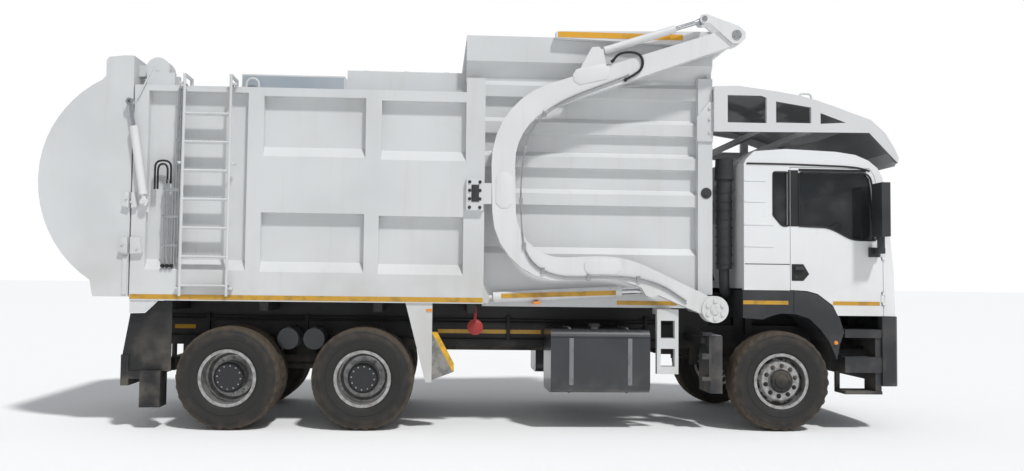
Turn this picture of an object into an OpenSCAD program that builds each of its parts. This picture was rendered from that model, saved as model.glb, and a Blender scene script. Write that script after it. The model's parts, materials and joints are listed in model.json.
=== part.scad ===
// Front-loading garbage truck. Millimetres, +X forward, +Y to its left, +Z up.
// Body pieces are placed from the rearmost axle (X 0) and cab pieces from the front axle.

/* [Running gear] */
// Height of the wheel centres, which is also the tyre radius
wheel_r = 538; // [500:1:560]
// Distance between the two rear axles
tandem = 1400; // [1380:10:1440]
// Distance from the second axle to the front axle
wheelbase = 4500; // [4490:10:4700]
// Distance from the centre plane to a front tyre's middle
front_tyre_y = 1040; // [1030:5:1050]
// Distance from the centre plane to an outer rear tyre's middle
rear_tyre_y = 1085; // [1075:5:1090]
// Distance between the middles of twin tyres
twin_pitch = 340; // [330:5:350]

/* [Refuse body] */
// Half of the refuse body's width
body_y = 1210; // [1205:1:1215]
// Height of the body's underside
body_z0 = 1340; // [1340:5:1360]
// Height of the body's top rail
body_z1 = 3600; // [3590:5:3615]
// Depth of the panels pressed between the posts
panel_depth = 80; // [50:5:95]
// Height of the hopper's open rim
hopper_z1 = 4270; // [4220:10:4280]

/* [Loading arms] */
// Inner face of the loading arms
arm_y0 = 1140; // [1138:1:1142]
// Outer face of the loading arms
arm_y1 = 1260; // [1250:1:1262]
// Half width of an arm at its lower run
arm_half = 117; // [100:1:122]

/* [Cab] */
// Half of the cab's width
cab_y = 1120; // [1100:5:1122]
// Thickness of the cab's walls and doors
cab_wall = 60; // [40:5:70]

/* [Hidden] */
$fn = 48;

run = 0.1;                         // running clearance on a radius
seat = 0.3;                        // clearance of a sliding or resting face
front_x = tandem + wheelbase;      // front axle
hopper_z0 = body_z0 - 30;          // hopper's underside
body_x0 = -1025;                   // body's rear face
body_x1 = 2662;                    // body's front face, where the hopper begins
hopper_x1 = 5190;                  // hopper's front face
cab_front = 1300;                  // cab's front wall, from the front axle
bumper_front = 1425;               // bumper's nose, from the front axle
tail_arc = [-805, 2600];           // centre of the tailgate's curve
tail_r = 1183;                     // its radius
tail_drop = 1245;                  // its lower half's vertical half axis
origin_x = (tail_arc[0] - tail_r + front_x + bumper_front) / 2;

// pins
arm_pivot = [5139, 1308];
fork_pivot = [5373, 4278];
fork_eye = [5021, 4448];
fork_base = [3862, 4062];
lift_base = [2690, 1400];
lift_eye = [4461, 1504];
tail_hinge = [-827, 3796];
tail_base = [-878, 2358];
tail_eye = [-1053, 3405];
lift_y = 1065;                     // middle of a lift cylinder
fork_cyl_y = 1200;                 // middle of a fork cylinder
tail_cyl_y = 1262;                 // middle of a tailgate cylinder
pin_r = 25;

rail_y0 = 340;                     // chassis rail, inner and outer faces
rail_y1 = 420;
rail_z0 = 830;
rail_z1 = 1100;
pivot_shaft_r = 55;
tyre_half = 150;
bead_r = 290;
lip_r = 300;
spindle_r = 60;
kingpin_y = 900;
kingpin_r = 22;

module bar(x0, x1, y0, y1, z0, z1)
    translate([x0, y0, z0]) cube([x1 - x0, y1 - y0, z1 - z0]);
module both_sides() {
    children();
    mirror([0, 1, 0]) children();
}
// An outline in X and Z, from y0 to y1
module plate(points, y0, y1)
    translate([0, y1, 0]) rotate([90, 0, 0]) linear_extrude(y1 - y0) polygon(points);
// An outline in Y and Z, from x0 to x1
module run_x(points, x0, x1)
    translate([x0, 0, 0]) rotate([90, 0, 90]) linear_extrude(x1 - x0) polygon(points);
// A round bar across, at [x, z]
module pin(at, r, y0, y1)
    translate([at[0], y1, at[1]]) rotate([90, 0, 0]) cylinder(h = y1 - y0, r = r);
// A round bar in an X-Z plane, from a to b
module rod(a, b, r, y)
    translate([a[0], y, a[1]]) rotate([0, 90 - atan2(b[1] - a[1], b[0] - a[0]), 0])
        cylinder(h = norm(b - a), r = r);
module at_front() translate([front_x, 0, 0]) children();
module wheel_at(x, y) translate([x, y, wheel_r]) rotate([90, 0, 0]) children();

function along(a, b, distance) = a + (b - a) * distance / norm(b - a);
function reversed(list) = [for (i = [len(list) - 1:-1:0]) list[i]];
function arc(centre, rx, rz, from, to, steps) =
    [for (i = [0:steps]) let (a = from + (to - from) * i / steps)
        centre + [rx * cos(a), rz * sin(a)]];
// Corners [x, z, radius, half width] of a bent beam become [point, normal, half width]
function heading(a, b) = (b - a) / norm(b - a);
function xz(c) = [c[0], c[1]];
function bend(before, corner, after, steps) =
    let (u = heading(xz(before), xz(corner)), v = heading(xz(corner), xz(after)),
         turn = acos(u * v), side = sign(u[0] * v[1] - u[1] * v[0]),
         start = xz(corner) - u * corner[2] * tan(turn / 2),
         centre = start + side * corner[2] * [-u[1], u[0]])
    [for (i = [0:steps]) let (a = side * turn * i / steps,
         t = [u[0] * cos(a) - u[1] * sin(a), u[0] * sin(a) + u[1] * cos(a)])
        [centre - side * corner[2] * [-t[1], t[0]], [-t[1], t[0]], corner[3]]];
function beam_ribs(c) =
    let (n = len(c), u = heading(xz(c[0]), xz(c[1])), v = heading(xz(c[n - 2]), xz(c[n - 1])))
    concat([[xz(c[0]), [-u[1], u[0]], c[0][3]]],
        [for (i = [1:n - 2]) each bend(c[i - 1], c[i], c[i + 1], 7)],
        [[xz(c[n - 1]), [-v[1], v[0]], c[n - 1][3]]]);
function beam_outline(c) =
    let (ribs = beam_ribs(c))
    concat([for (r = ribs) r[0] + r[1] * r[2]], reversed([for (r = ribs) r[0] - r[1] * r[2]]));

// ---------------------------------------------------------------- chassis
module chassis_frame() color("dimgray") {
    difference() {
        union() {
            both_sides() {
                bar(-1000, front_x + cab_front, rail_y0, rail_y1, rail_z0, rail_z1);
                bar(-900, body_x1, rail_y0, rail_y1, rail_z1, body_z0);
                bar(body_x1, 4930, rail_y0, rail_y1, rail_z1, hopper_z0);
                plate([[4900, rail_z1], [5350, rail_z1], [5230, 1400], [5050, 1400],
                    [4990, hopper_z0], [4900, hopper_z0]], rail_y0, rail_y1);
                for (x = [-250, 1130])
                    bar(front_x + x, front_x + x + 110, rail_y0, rail_y1, rail_z1, 1535);
                for (x = [3600, 4150])
                    bar(x, x + 80, rail_y1, 620, 860, 1000);
            }
            for (x = [-900, 650, 2100, 3300, 4600])
                bar(x, x + 100, -rail_y0, rail_y0, 870, 1060);
            bar(front_x + 1190, front_x + cab_front, -rail_y0, rail_y0, 870, 1060);
            for (x = [-700, 300, 1500, 2500])
                both_sides() bar(x, x + 90, rail_y1, body_y - 90, 1240, body_z0);
        }
        pin(arm_pivot, pivot_shaft_r + run, -600, 600);
        // bore for the towing pin
        translate([front_x + 1245, 0, 800]) cylinder(h = 400, r = 20);
    }
}
module front_axle() color("gray") at_front() difference() {
    union() {
        bar(-45, 45, -460, 460, wheel_r - 140, wheel_r - 20);
        both_sides() {
            bar(-40, 40, 400, kingpin_y - 25, wheel_r - 60, wheel_r + 60);
            bar(-60, 60, rail_y0 + 5, rail_y1 - 5, wheel_r - 60, 640);
            translate([0, kingpin_y, wheel_r - 75 + seat]) cylinder(h = 150 - 2 * seat, r = 42);
        }
    }
    both_sides() translate([0, kingpin_y, 0]) cylinder(h = 1000, r = kingpin_r + run);
}
module rear_axle_at(x) {
    pin([x, wheel_r], 75, -880, 880);
    pin([x, wheel_r], spindle_r, -1050, 1050);
    translate([x, 0, wheel_r]) sphere(r = 210);
    both_sides() bar(x - 60, x + 60, rail_y0 + 5, rail_y1 - 5, wheel_r, 640);
}
module rear_axles() color("gray") {
    difference() {
        union() {
            rear_axle_at(tandem);
            bar(tandem + 100, tandem + 260, -80, 80, 500, 860);
            bar(tandem - 250, tandem - 100, -70, 70, 490, 650);
        }
    }
    rear_axle_at(0);
    bar(100, 250, -70, 70, 490, 650);
}
module leaf_springs() color("dimgray") both_sides() {
    y0 = rail_y0 + 5;
    y1 = rail_y1 - 5;
    at_front() {
        for (i = [0:3]) bar(-760 + 140 * i, 760 - 140 * i, y0, y1, 640 + 18 * i, 658 + 18 * i);
        for (x = [-760, 680]) bar(x, x + 80, y0, y1, 658, rail_z0);
    }
    for (i = [0:3]) bar(-80 + 130 * i, tandem + 80 - 130 * i, y0, y1, 640 + 20 * i, 660 + 20 * i);
    bar(tandem / 2 - 110, tandem / 2 + 110, y0, y1, 720, rail_z0);
}
module drive_shafts() color("silver") {
    translate([tandem + 260, 0, 800]) rotate([0, 90, 0]) cylinder(h = front_x - 1100 - tandem - 260, r = 45);
    translate([250, 0, 560]) rotate([0, 90, 0]) cylinder(h = tandem - 500, r = 40);
}
module engine_block() color("slategray") at_front() {
    bar(-550, 1000, -330, 330, 700, 1480);
    bar(-1100, -550, -220, 220, 740, 1200);
    both_sides() bar(300, 500, 330, rail_y0, 900, 1050);
}
module rounded_tank(x0, x1, y0, y1, z0, z1, r)
    run_x(concat(arc([y1 - r, z1 - r], r, r, 0, 90, 6), arc([y0 + r, z1 - r], r, r, 90, 180, 6),
        arc([y0 + r, z0 + r], r, r, 180, 270, 6), arc([y1 - r, z0 + r], r, r, 270, 360, 6)), x0, x1);
module fuel_tank() color("darkslategray") mirror([0, 1, 0]) {
    rounded_tank(3390, 4460, 620, 1195, 400, 1076, 95);
    translate([3880, 1050, 1070]) cylinder(h = 40, r = 55);
}
module left_side_tanks() color("darkslategray") {
    rounded_tank(3450, 4060, 620, 1150, 430, 1040, 50);
    rounded_tank(4110, 4520, 620, 1150, 400, 1060, 110);
}
module side_steps() mirror([0, 1, 0]) {
    color("white") difference() {
        union() {
            bar(4533, 4765, 1130, 1195, 610, 1300);
            bar(4560, 4740, 900, 1140, 1240, 1300);
            bar(4560, 4740, 900, 985, 1240, 1310);
        }
        for (z = [690, 990]) bar(4573, 4725, 1100, 1300, z, z + 190);
    }
}

// ---------------------------------------------------------------- cab
roof_line = [[-390, 1520], [-390, 2900], [-368, 2951], [-276, 3042], [78, 3073], [640, 3052],
    [860, 3022], [1010, 2960], [1110, 2880]];
screen_line = [[1165, 2780], [1226, 2418], [1250, 2087], [1282, 1758], [cab_front, 1250]];
arch_line = [[590, 1357], [428, 1474], [310, 1508], [133, 1520]];
cavity = [[-340, 1590], [-340, 2890], [-320, 2935], [-254, 2995], [80, 3023], [630, 3002],
    [845, 2974], [985, 2915], [1075, 2845], [1112, 2770], [1176, 2410], [1200, 2080],
    [1232, 1750], [1245, 1590]];
door_x = 1165;                     // door's front edge and hinge, from the front axle
door_outline = [[128, 1526], [128, 2868], [1020, 2868], [1065, 2800], [1092, 2690], [1160, 2080],
    [door_x, 1250], [655, 1250], [597, 1364], [432, 1484], [312, 1516]];
door_hole = [[122, 1400], [122, 2874], [1023, 2874], [1071, 2803], [1098, 2691], [1166, 2081],
    [1171, 1250], [1171, 1100], [122, 1100]];
door_window = [[215, 2224], [215, 2812], [985, 2812], [1028, 2762], [1048, 2640], [1090, 2084],
    [870, 2084], [790, 2102], [700, 2150], [610, 2195], [530, 2220]];
quarter_window = [[-60, 2345], [-60, 2812], [100, 2812], [100, 2229], [38, 2229]];
hinge_z = [1400, 1900];
hinge_pin_r = 8;
glass_y = [1080, 1092];
screen_top = 2700;
screen_foot = 1915;
screen_y = 1000;
function screen_x(z) = lookup(z, [for (p = screen_line) [p[1], p[0]]]);
module cab_shell() color("white") at_front() difference() {
    union() {
        difference() {
            plate(concat(roof_line, screen_line, [[655, 1250]], arch_line),
                -cab_y, cab_y);
            plate(cavity, -cab_y + cab_wall, cab_y - cab_wall);
            bar(-900, cab_front - 55, -cab_y + cab_wall, cab_y - cab_wall, 1000, 1535);
            both_sides() {
                plate(door_hole, cab_y - cab_wall - 20, cab_y + 20);
                plate(quarter_window, cab_y - cab_wall - 20, cab_y + 20);
            }
            bar(1090, 1500, -screen_y, screen_y, screen_foot, screen_top);
            bar(-430, -330, -500, 500, 2300, 2750);
        }
        // hinge lugs
        both_sides() for (z = hinge_z) for (dz = [-30, 80])
            bar(door_x - 12, door_x + 26, cab_y - 20, cab_y + 14, z + dz + 0.5, z + dz + 29.5);
    }
    both_sides() for (z = hinge_z) {
        translate([door_x, cab_y, z - 60]) cylinder(h = 200, r = hinge_pin_r + run);
        translate([door_x, cab_y, z - 0.5]) cylinder(h = 81, r = 17);
    }
}
module cab_glass() color([0.2, 0.25, 0.28, 0.5]) at_front() {
    zs = [screen_foot, 2087, 2200, 2310, 2418, 2560, screen_top];
    plate(concat([for (z = zs) [screen_x(z) - 4, z]],
        reversed([for (z = zs) [screen_x(z) - 12, z]])), -screen_y, screen_y);
    both_sides() plate(quarter_window, glass_y[0], glass_y[1]);
    bar(-375, -365, -500, 500, 2300, 2750);
}
module door_right() color("white") at_front() mirror([0, 1, 0]) door();
module door_left() color("white") at_front() door();
module door() {
    difference() {
        plate(door_outline, cab_y - cab_wall, cab_y);
        plate(door_window, cab_y - cab_wall - 10, cab_y + 10);
        for (z = hinge_z) bar(door_x - 22, door_x + 10, cab_y - 30, cab_y + 10, z - 36, z + 116);
    }
    for (z = hinge_z) {
        translate([door_x, cab_y, z]) cylinder(h = 80, r = 12);
        translate([door_x, cab_y, z - 28]) cylinder(h = 136, r = hinge_pin_r);
        bar(door_x - 26, door_x, cab_y - 8, cab_y + 8, z, z + 80);
    }
}
module door_glass() color([0.2, 0.25, 0.28, 0.5]) plate(door_window, glass_y[0], glass_y[1]);
module door_glass_right() at_front() mirror([0, 1, 0]) door_glass();
module door_glass_left() at_front() door_glass();
module mirror_unit() color("dimgray") {
    bar(1000, 1112, cab_y, 1160, 1895, 2000);
    bar(1040, 1100, 1150, 1290, 1930, 1990);
    bar(1030, 1090, 1250, 1300, 1930, 2160);
    bar(1000, 1095, 1200, 1410, 2110, 2690);
}
module mirror_right() at_front() mirror([0, 1, 0]) mirror_unit();
module mirror_left() at_front() mirror_unit();
module front_panel() color("white") at_front() difference() {
    plate([[screen_x(1740) + seat, 1740], [cab_front + 45, 1740], [cab_front + 45, 1285],
        [screen_x(1285) + seat, 1285]], -900, 900);
    for (z = [1340, 1440, 1540, 1640]) bar(cab_front + 20, cab_front + 60, -850, 850, z, z + 60);
}
bumper_rear = 1150;
bumper_plan = [[bumper_rear, 1125], [1300, 1125], [1350, 1060], [1400, 900], [bumper_front, 650]];
bumper_back = [[1325, 640], [1295, 960], [bumper_rear, 1020]];
module bumper() color("dimgray") at_front() difference() {
    translate([0, 0, 485]) linear_extrude(759)
        polygon(concat(bumper_plan, [for (p = reversed(bumper_plan)) [p[0], -p[1]]],
            [for (p = reversed(bumper_back)) [p[0], -p[1]]], bumper_back));
    both_sides() bar(1325, 1440, 760, 1060, 830, 1020);
}
module headlamps() color("lightgray") at_front() both_sides() intersection() {
    bar(1325, 1420, 760, 1060, 830, 1020);
    translate([-6, -4, 800]) linear_extrude(300)
        polygon(concat([[bumper_rear, 0]], bumper_plan, [[bumper_front, 0]]));
}
fender_outer = concat([[-403, 1520]], reversed(arch_line),
    [[655, 1250], [667, 1246], [724, 1070], [667, 918]]);
fender_inner = [[643, 765], [562, 960], [464, 1095], [336, 1215], [187, 1262], [26, 1268],
    [-89, 1240], [-181, 1200], [-403, 1215]];
module front_fenders() color("dimgray") at_front() {
    both_sides() plate(concat(fender_outer, fender_inner), 640, cab_y);
    both_sides() bar(-130, -50, rail_y1, 640, 1240, 1300);
    both_sides() bar(-130, -50, rail_y1, rail_y1 + 40, 1000, 1300);
}
module cab_steps() color("dimgray") {
    at_front() both_sides() {
        for (z = [[1010, 1100], [630, 800], [395, 430]])
            bar(735, bumper_rear, 860, 1115, z[0], z[1]);
        bar(bumper_rear - 69, bumper_rear, 860, 1100, 395, 1100);
        bar(735, 780, 860, 900, 395, 1100);
        bar(bumper_rear - 69, bumper_rear, rail_y1, 900, 900, 1000);
    }
    mirror([0, 1, 0]) {
        difference() {
            bar(5030, 5130, 1060, 1180, 540, 1060);
            for (z = [580, 830]) bar(5000, 5105, 1040, 1200, z, z + 190);
        }
        bar(5050, 5110, rail_y1, 1080, 930, 1000);
        bar(5130, 5260, 760, 1150, 400, 1020);
    }
}
module seat_unit(y) {
    bar(330, 640, y - 150, y + 150, 1590, 1760);
    bar(230, 760, y - 250, y + 250, 1760, 1900);
    plate([[230, 1880], [130, 2480], [30, 2480], [110, 1860]], y - 235, y + 235);
    plate([[110, 1760], [110, 1900], [260, 1900], [260, 1760]], y - 235, y + 235);
    plate([[122, 2480], [106, 2680], [28, 2680], [42, 2480]], y - 140, y + 140);
}
module seats() color("dimgray") at_front() for (y = [-590, 590]) seat_unit(y);
module dashboard() color("dimgray") at_front()
    plate([[990, 1590], [990, 1850], [920, 1900], [920, 2010], [1020, 2060], [1190, 2050],
        [1190, 1590]], -1040, 1040);
module steering_wheel() color("dimgray") at_front() difference() {
    translate([790, -590, 2130]) rotate([0, 125, 0]) {
        rotate_extrude() translate([215, 0]) circle(r = 15, $fn = 24);
        for (a = [90, 210, 330]) rotate([0, 0, a]) translate([0, -18, -9]) cube([212, 36, 18]);
        cylinder(h = 26, r = 60, center = true);
        cylinder(h = 320, r = 24);
    }
    bar(920, 1400, -900, -200, 1500, 2400);
}
guard_rear = hopper_x1 - front_x;
guard_y = 1090;
guard_top = [[guard_rear, 3759], [-442, 3769], [-24, 3718], [241, 3678], [444, 3627], [638, 3565],
    [842, 3494], [1056, 3423], [1219, 3280], [1330, 3100], [1372, 3000], [1361, 2944]];
guard_under = concat([[guard_rear, guard_top[0][1] - 30]],
    [for (i = [1:len(guard_top) - 1]) guard_top[i] + [-14, -30]]);
module cab_guard() color("white") at_front() {
    both_sides() difference() {
        plate(concat(guard_top, [[1037, 3277], [guard_rear, 3255]]), guard_y - 40, guard_y);
        plate([[-559, 3360], [-122, 3360], [-122, 3640], [-180, 3663], [-559, 3663]],
            guard_y - 60, guard_y + 20);
        plate([[-16, 3369], [381, 3369], [381, 3545], [-16, 3604]], guard_y - 60, guard_y + 20);
        plate([[486, 3365], [772, 3384], [486, 3486]], guard_y - 60, guard_y + 20);
    }
    plate(concat(guard_top, reversed(guard_under)), -guard_y + 40, guard_y - 40);
    bar(guard_rear, guard_rear + 60, -guard_y + 40, guard_y - 40, 3255, 3330);
    for (x = [-150, 390]) bar(x, x + 60, -guard_y + 40, guard_y - 40, 3275, 3335);
    both_sides() bar(guard_rear, guard_rear + 120, 1000, guard_y - 40, 3255, 3560);
}

// ---------------------------------------------------------------- refuse body
wall_y = body_y - panel_depth - 30;
// [x0, x1, z0, z1] of the pressed side panels
side_panels = [[-878, 155, 1660, 3540], [319, 1391, 2870, 3510], [1558, 2458, 2855, 3490],
    [308, 1390, 1650, 2275], [1543, 2440, 1640, 2258]];
roof_rail_y = [800, 860];
post_x0 = 2462;                    // front post's rear face
post_z1 = 3755;                    // its top
hatch_z = 3790;
module body_shell() color("whitesmoke") {
    difference() {
        union() {
            bar(body_x0, body_x1, -body_y, body_y, body_z0, body_z1);
            both_sides() bar(post_x0, body_x1, 1000, body_y, body_z1, post_z1);
        }
        bar(body_x0 - 10, body_x1 - 80, -wall_y, wall_y, 1420, body_z1 - 80);
        bar(body_x1 - 100, body_x1 + 10, -850, 850, 1420, 3000);
        both_sides() bar(2638, body_x1 + 10, 1000, 1130, body_z0 - 10, 1460);
        both_sides() for (p = side_panels)
            run_x([[body_y + 10, p[2]], [body_y, p[2]], [body_y - panel_depth, p[2] + 110],
                [body_y - panel_depth, p[3]], [body_y + 10, p[3]]], p[0], p[1]);
    }
    // hatch rails and the crown of the roof
    both_sides() bar(1100, body_x1, roof_rail_y[0], roof_rail_y[1], body_z1, hatch_z - seat);
    bar(20, 1135, -950, 950, body_z1, 3800);
    // skirts under the rear corners
    both_sides() plate([[body_x0 + 5, body_z0 + 5], [-720, body_z0 + 5], [-875, 1212],
        [body_x0 + 5, 1208]], 1185, 1200);
    both_sides() {
        hinge_cheek(890, 940);
        hinge_cheek(1060, 1110);
    }
}
module hinge_cheek(y0, y1) difference() {
    union() {
        pin(tail_hinge, 122, y0, y1);
        bar(tail_hinge[0] - 112, tail_hinge[0] + 180, y0, y1, body_z1, tail_hinge[1] - 40);
    }
    pin(tail_hinge, pin_r + run, y0 - 5, y1 + 5);
    bar(tail_hinge[0] - 200, tail_hinge[0] + 200, y0 - 5, y1 + 5, body_z1 - 200, body_z1);
}

// hopper
rib_z = [2425, 2834, 3210, 3613];  // lower edges of the pressed ribs
rib_h = 125;
ledge_h = 56;
hopper_y = 990;                    // faces of the ribs
hopper_recess = 930;
hopper_in = 880;
hopper_flare = 1030;
hopper_side = concat([[hopper_in, hopper_z0], [hopper_y, hopper_z0], [hopper_y, 1889],
    [hopper_recess, 1963]],
    [for (z = rib_z) each [[hopper_recess, z - 15], [hopper_y, z], [hopper_y, z + rib_h],
        [hopper_recess, z + rib_h + ledge_h]]],
    [[hopper_recess, 3840], [hopper_flare, 3990], [hopper_flare, hopper_z1],
    [hopper_flare - 50, hopper_z1], [hopper_flare - 50, 3990], [hopper_in, 3840]]);
pivot_notch = [4980, 1460];
module hopper() color("whitesmoke") {
    difference() {
        union() {
            both_sides() {
                run_x(hopper_side, body_x1, hopper_x1);
                bar(5030, hopper_x1, hopper_in, hopper_flare, body_z0, 3850);
            }
            bar(hopper_x1 - 50, hopper_x1, -980, 980, body_z0, hopper_z1);
            bar(body_x1, hopper_x1, -hopper_in, hopper_in, hopper_z0, 1390);
            both_sides() run_x([[hopper_recess, post_z1 + seat], [hopper_recess, 3840],
                [hopper_flare, 3990], [hopper_flare, hopper_z1], [hopper_flare - 50, hopper_z1],
                [hopper_flare - 50, 3990], [hopper_in, 3840], [hopper_in, post_z1 + seat]],
                post_x0, body_x1);
            bar(post_x0, post_x0 + 60, -980, 980, hatch_z + 115, hopper_z1);
            both_sides() bar(body_x1, hopper_x1, roof_rail_y[0], hopper_in, 3630, hatch_z - seat);
        }
        bar(pivot_notch[0], hopper_x1 + 10, -1200, 1200, 1200, pivot_notch[1]);
        bar(post_x0 - 10, body_x1 + 70, -hopper_in, hopper_in, hatch_z - seat, hatch_z + 115);
    }
}
module side_brackets() color("whitesmoke") both_sides() {
    // lift cylinder bases
    for (y = [[1005, 1028], [1102, 1125]])
        plate([[body_x1, 1345], [body_x1, 1560], [2700, 1470], [2735, 1400], [2715, 1345]], y[0], y[1]);
    pin(lift_base, pin_r, 1005, 1125);
    // tailgate cylinder bases
    plate([[-947, 2258], [-842, 2258], [-842, 2403], [-878, 2423], [-947, 2403]], body_y, body_y + 14);
    pin(tail_base, 20, body_y, 1300);
    // arm stops with their pads
    bar(2466, 2648, body_y, 1262, 2330, 2670);
    bar(2648, 2735, body_y + 2, 1262, 2400, 2620);
    bar(body_x1, 2735, 1150, body_y + 2, 2400, 2620);
}
module ladder() color("whitesmoke") mirror([0, 1, 0]) {
    rail = 15;
    ladder_y = 1272;
    ladder_x = [-495, -17];
    for (x = ladder_x) {
        translate([x, ladder_y, 1390]) cylinder(h = 2300, r = rail);
        for (z = [1450, 3560]) bar(x - 12, x + 12, body_y, ladder_y, z, z + 30);
        bar(x - rail, x + rail, 1000, ladder_y + rail, 3690, 3715);
        bar(x - rail, x + rail, 1000, 1030, body_z1, 3700);
    }
    for (z = [1500:300:3300])
        translate([ladder_x[0], ladder_y, z]) rotate([0, 90, 0])
            cylinder(h = ladder_x[1] - ladder_x[0], r = 12);
}
module rear_underrun() color("dimgray") {
    bar(-1110, -1030, -1150, 1150, 450, 600);
    both_sides() {
        bar(-1040, -1000, rail_y0, rail_y1, 450, 1060);
        bar(-1110, -1030, 1050, 1150, 450, 770);
        bar(-1040, -900, 1000, 1150, 520, 600);
        bar(-900, -690, 960, 1190, 230, 610);
        // guard plates behind the wheels
        plate([[-1100, 770], [-1030, 1200], [-880, 1205], [-745, 1335], [-600, 1335], [-600, 600],
            [-1100, 600]], 1125, 1137);
    }
}
module mudguard_struts() color("white") both_sides()
    plate([[1840, body_z0], [2124, body_z0], [2124, 506], [2060, 506]], 1150, 1195);
module wheel_chock() color("goldenrod") mirror([0, 1, 0])
    plate([[2124 + seat, 530], [2124 + seat, 1030], [2180, 1030], [2360, 700], [2360, 620]], 1050, 1195);
module top_hatch() color("whitesmoke") {
    bar(1150, 2480, -858, 858, hatch_z, hatch_z + 100);
}
module packer_panel() color("gray") {
    bar(4600, 4680, -860, 860, 1390 + seat, 2900);
    bar(4680, 4970, -700, 700, 1390 + seat, 1900);
    both_sides() plate([[4680, 1800], [4940, 1800], [4680, 2700]], 500, 560);
}

// tailgate
tail_x = -1040;                    // its front face
tail_foot = [-1403, 1397];
module tailgate() color("whitesmoke") {
    difference() {
        plate(concat([[tail_x, 1375], [-1395, 1375], tail_foot],
            arc(tail_arc, tail_r, tail_drop, 238, 180, 9), arc(tail_arc, tail_r, tail_r, 172, 118, 9),
            [[-1325, 3685], [-1325, 3850], [-1300, 3885], [-1141, 3905], [tail_x, 3905]]),
            -body_y, body_y);
        plate(concat([[tail_x + 10, 1430], [-1340, 1430]],
            arc(tail_arc, tail_r - 55, tail_drop - 55, 236, 180, 9),
            arc(tail_arc, tail_r - 55, tail_r - 55, 172, 118, 9), [[tail_x + 10, 3620]]),
            -body_y + 50, body_y - 50);
    }
    both_sides() {
        plate([[-1079, 3719], [-1079, 3837], [-839, 3857], [-779, 3839], [-763, 3796], [-779, 3751],
            [-839, 3733]], 950, 1050);
        pin(tail_hinge, pin_r, 885, 1115);
        plate([[-1133, 3303], [-1133, 3443], [-1073, 3465], [tail_x - 6, 3443], [tail_x - 6, 3303]],
            body_y, body_y + 14);
    }
}

// ---------------------------------------------------------------- loading arms
arm_path = [[arm_pivot[0], arm_pivot[1], 0, 100], [4105, 1762, 1100, arm_half],
    [2886, 1668, 620, arm_half + 8], [2842, 3394, 780, arm_half + 8], [fork_pivot[0], fork_pivot[1], 0, 96]];
module lift_arms() color("whitesmoke") {
    both_sides() difference() {
        union() {
            plate(beam_outline(arm_path), arm_y0, arm_y1);
            pin(arm_pivot, 143, arm_y0, arm_y1 + 20);
            pin(fork_pivot, 96, arm_y0, arm_y1);
            plate([[4270, 1650], [4400, 1445], [4461, 1425], [4522, 1450], [4650, 1580]],
                arm_y0, arm_y1);
            for (y = [[arm_y0 + 5, 1166], [1234, arm_y1 - 5]])
                plate([[3560, 3660], [3800, 4110], [3880, 4118], [3925, 4060], [3980, 3820]],
                    y[0], y[1]);
            pin(fork_base, pin_r, arm_y0 + 5, arm_y1 - 5);
        }
        pin(fork_pivot, pivot_shaft_r + run, arm_y0 - 5, arm_y1 + 5);
    }
    pin(arm_pivot, pivot_shaft_r, -arm_y0, arm_y0);
}
crank = [[4968, 4430], [4985, 4487], [5040, 4498], [5398, 4375], [5470, 4310], [5470, 4240],
    [5410, 4185], [5330, 4185], [5075, 4400], [5000, 4395]];
module forks() color("whitesmoke") {
    both_sides() {
        plate(crank, 1116, 1134);
        plate(crank, arm_y1 + 6, arm_y1 + 24);
        plate([[3430, 4245], [3430, 4310], [3520, 4320], [5373, 4360], [5440, 4300], [5400, 4190],
            [4840, 4195]], 1045, 1116);
    }
    pin(fork_pivot, pivot_shaft_r, -arm_y1 - 24, arm_y1 + 24);
}

// ---------------------------------------------------------------- hydraulic cylinders
// A barrel from the base pin to the gland, and the rod that slides in it
module barrel(base, eye, length, r, rod_r, base_r, y, eye_half)
    difference() {
        union() {
            rod(along(base, eye, base_r + 60), along(base, eye, length), r, y);
            pin(base, base_r + 20, y - eye_half, y + eye_half);
            rod(along(base, eye, base_r), along(base, eye, base_r + 70), eye_half * 0.9, y);
        }
        pin(base, base_r + run, y - eye_half - 90, y + eye_half + 90);
        rod(along(base, eye, base_r + 90), along(base, eye, length + 10), rod_r + run, y);
    }
module piston_rod(base, eye, inside, r, eye_r, y, eye_half) {
    rod(along(base, eye, inside), along(base, eye, norm(eye - base) - eye_r * 0.7), r, y);
    difference() {
        pin(eye, eye_r, y - eye_half, y + eye_half);
        pin(eye, 18, y - eye_half - 5, y + eye_half + 5);
    }
}
module lift_barrels() color("white") both_sides()
    barrel(lift_base, lift_eye, 1480, 60, 35, pin_r, lift_y, 30);
module lift_rods() color("silver") both_sides()
    piston_rod(lift_base, lift_eye, 130, 35, 52, lift_y, 30);
module fork_barrels() color("white") both_sides()
    barrel(fork_base, fork_eye, 900, 42, 24, pin_r, fork_cyl_y, 28);
module fork_rods() color("silver") both_sides()
    piston_rod(fork_base, fork_eye, 130, 24, 42, fork_cyl_y, 28);
module tailgate_barrels() color("white") both_sides()
    barrel(tail_base, tail_eye, 800, 42, 22, 20, tail_cyl_y, 26);
module tailgate_rods() color("silver") both_sides()
    piston_rod(tail_base, tail_eye, 130, 22, 38, tail_cyl_y, 26);

// ---------------------------------------------------------------- wheels
module knuckle() color("gray") at_front() {
    translate([0, kingpin_y, wheel_r - 140]) cylinder(h = 280, r = kingpin_r);
    for (z = [-125, 75]) bar(-45, 45, kingpin_y - 45, 985, wheel_r + z, wheel_r + z + 50);
    bar(-45, 45, 950, 985, wheel_r - 125, wheel_r + 125);
    pin([0, wheel_r], 45, 980, 1100);
}
module knuckle_right() mirror([0, 1, 0]) knuckle();
module knuckle_left() knuckle();
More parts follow.
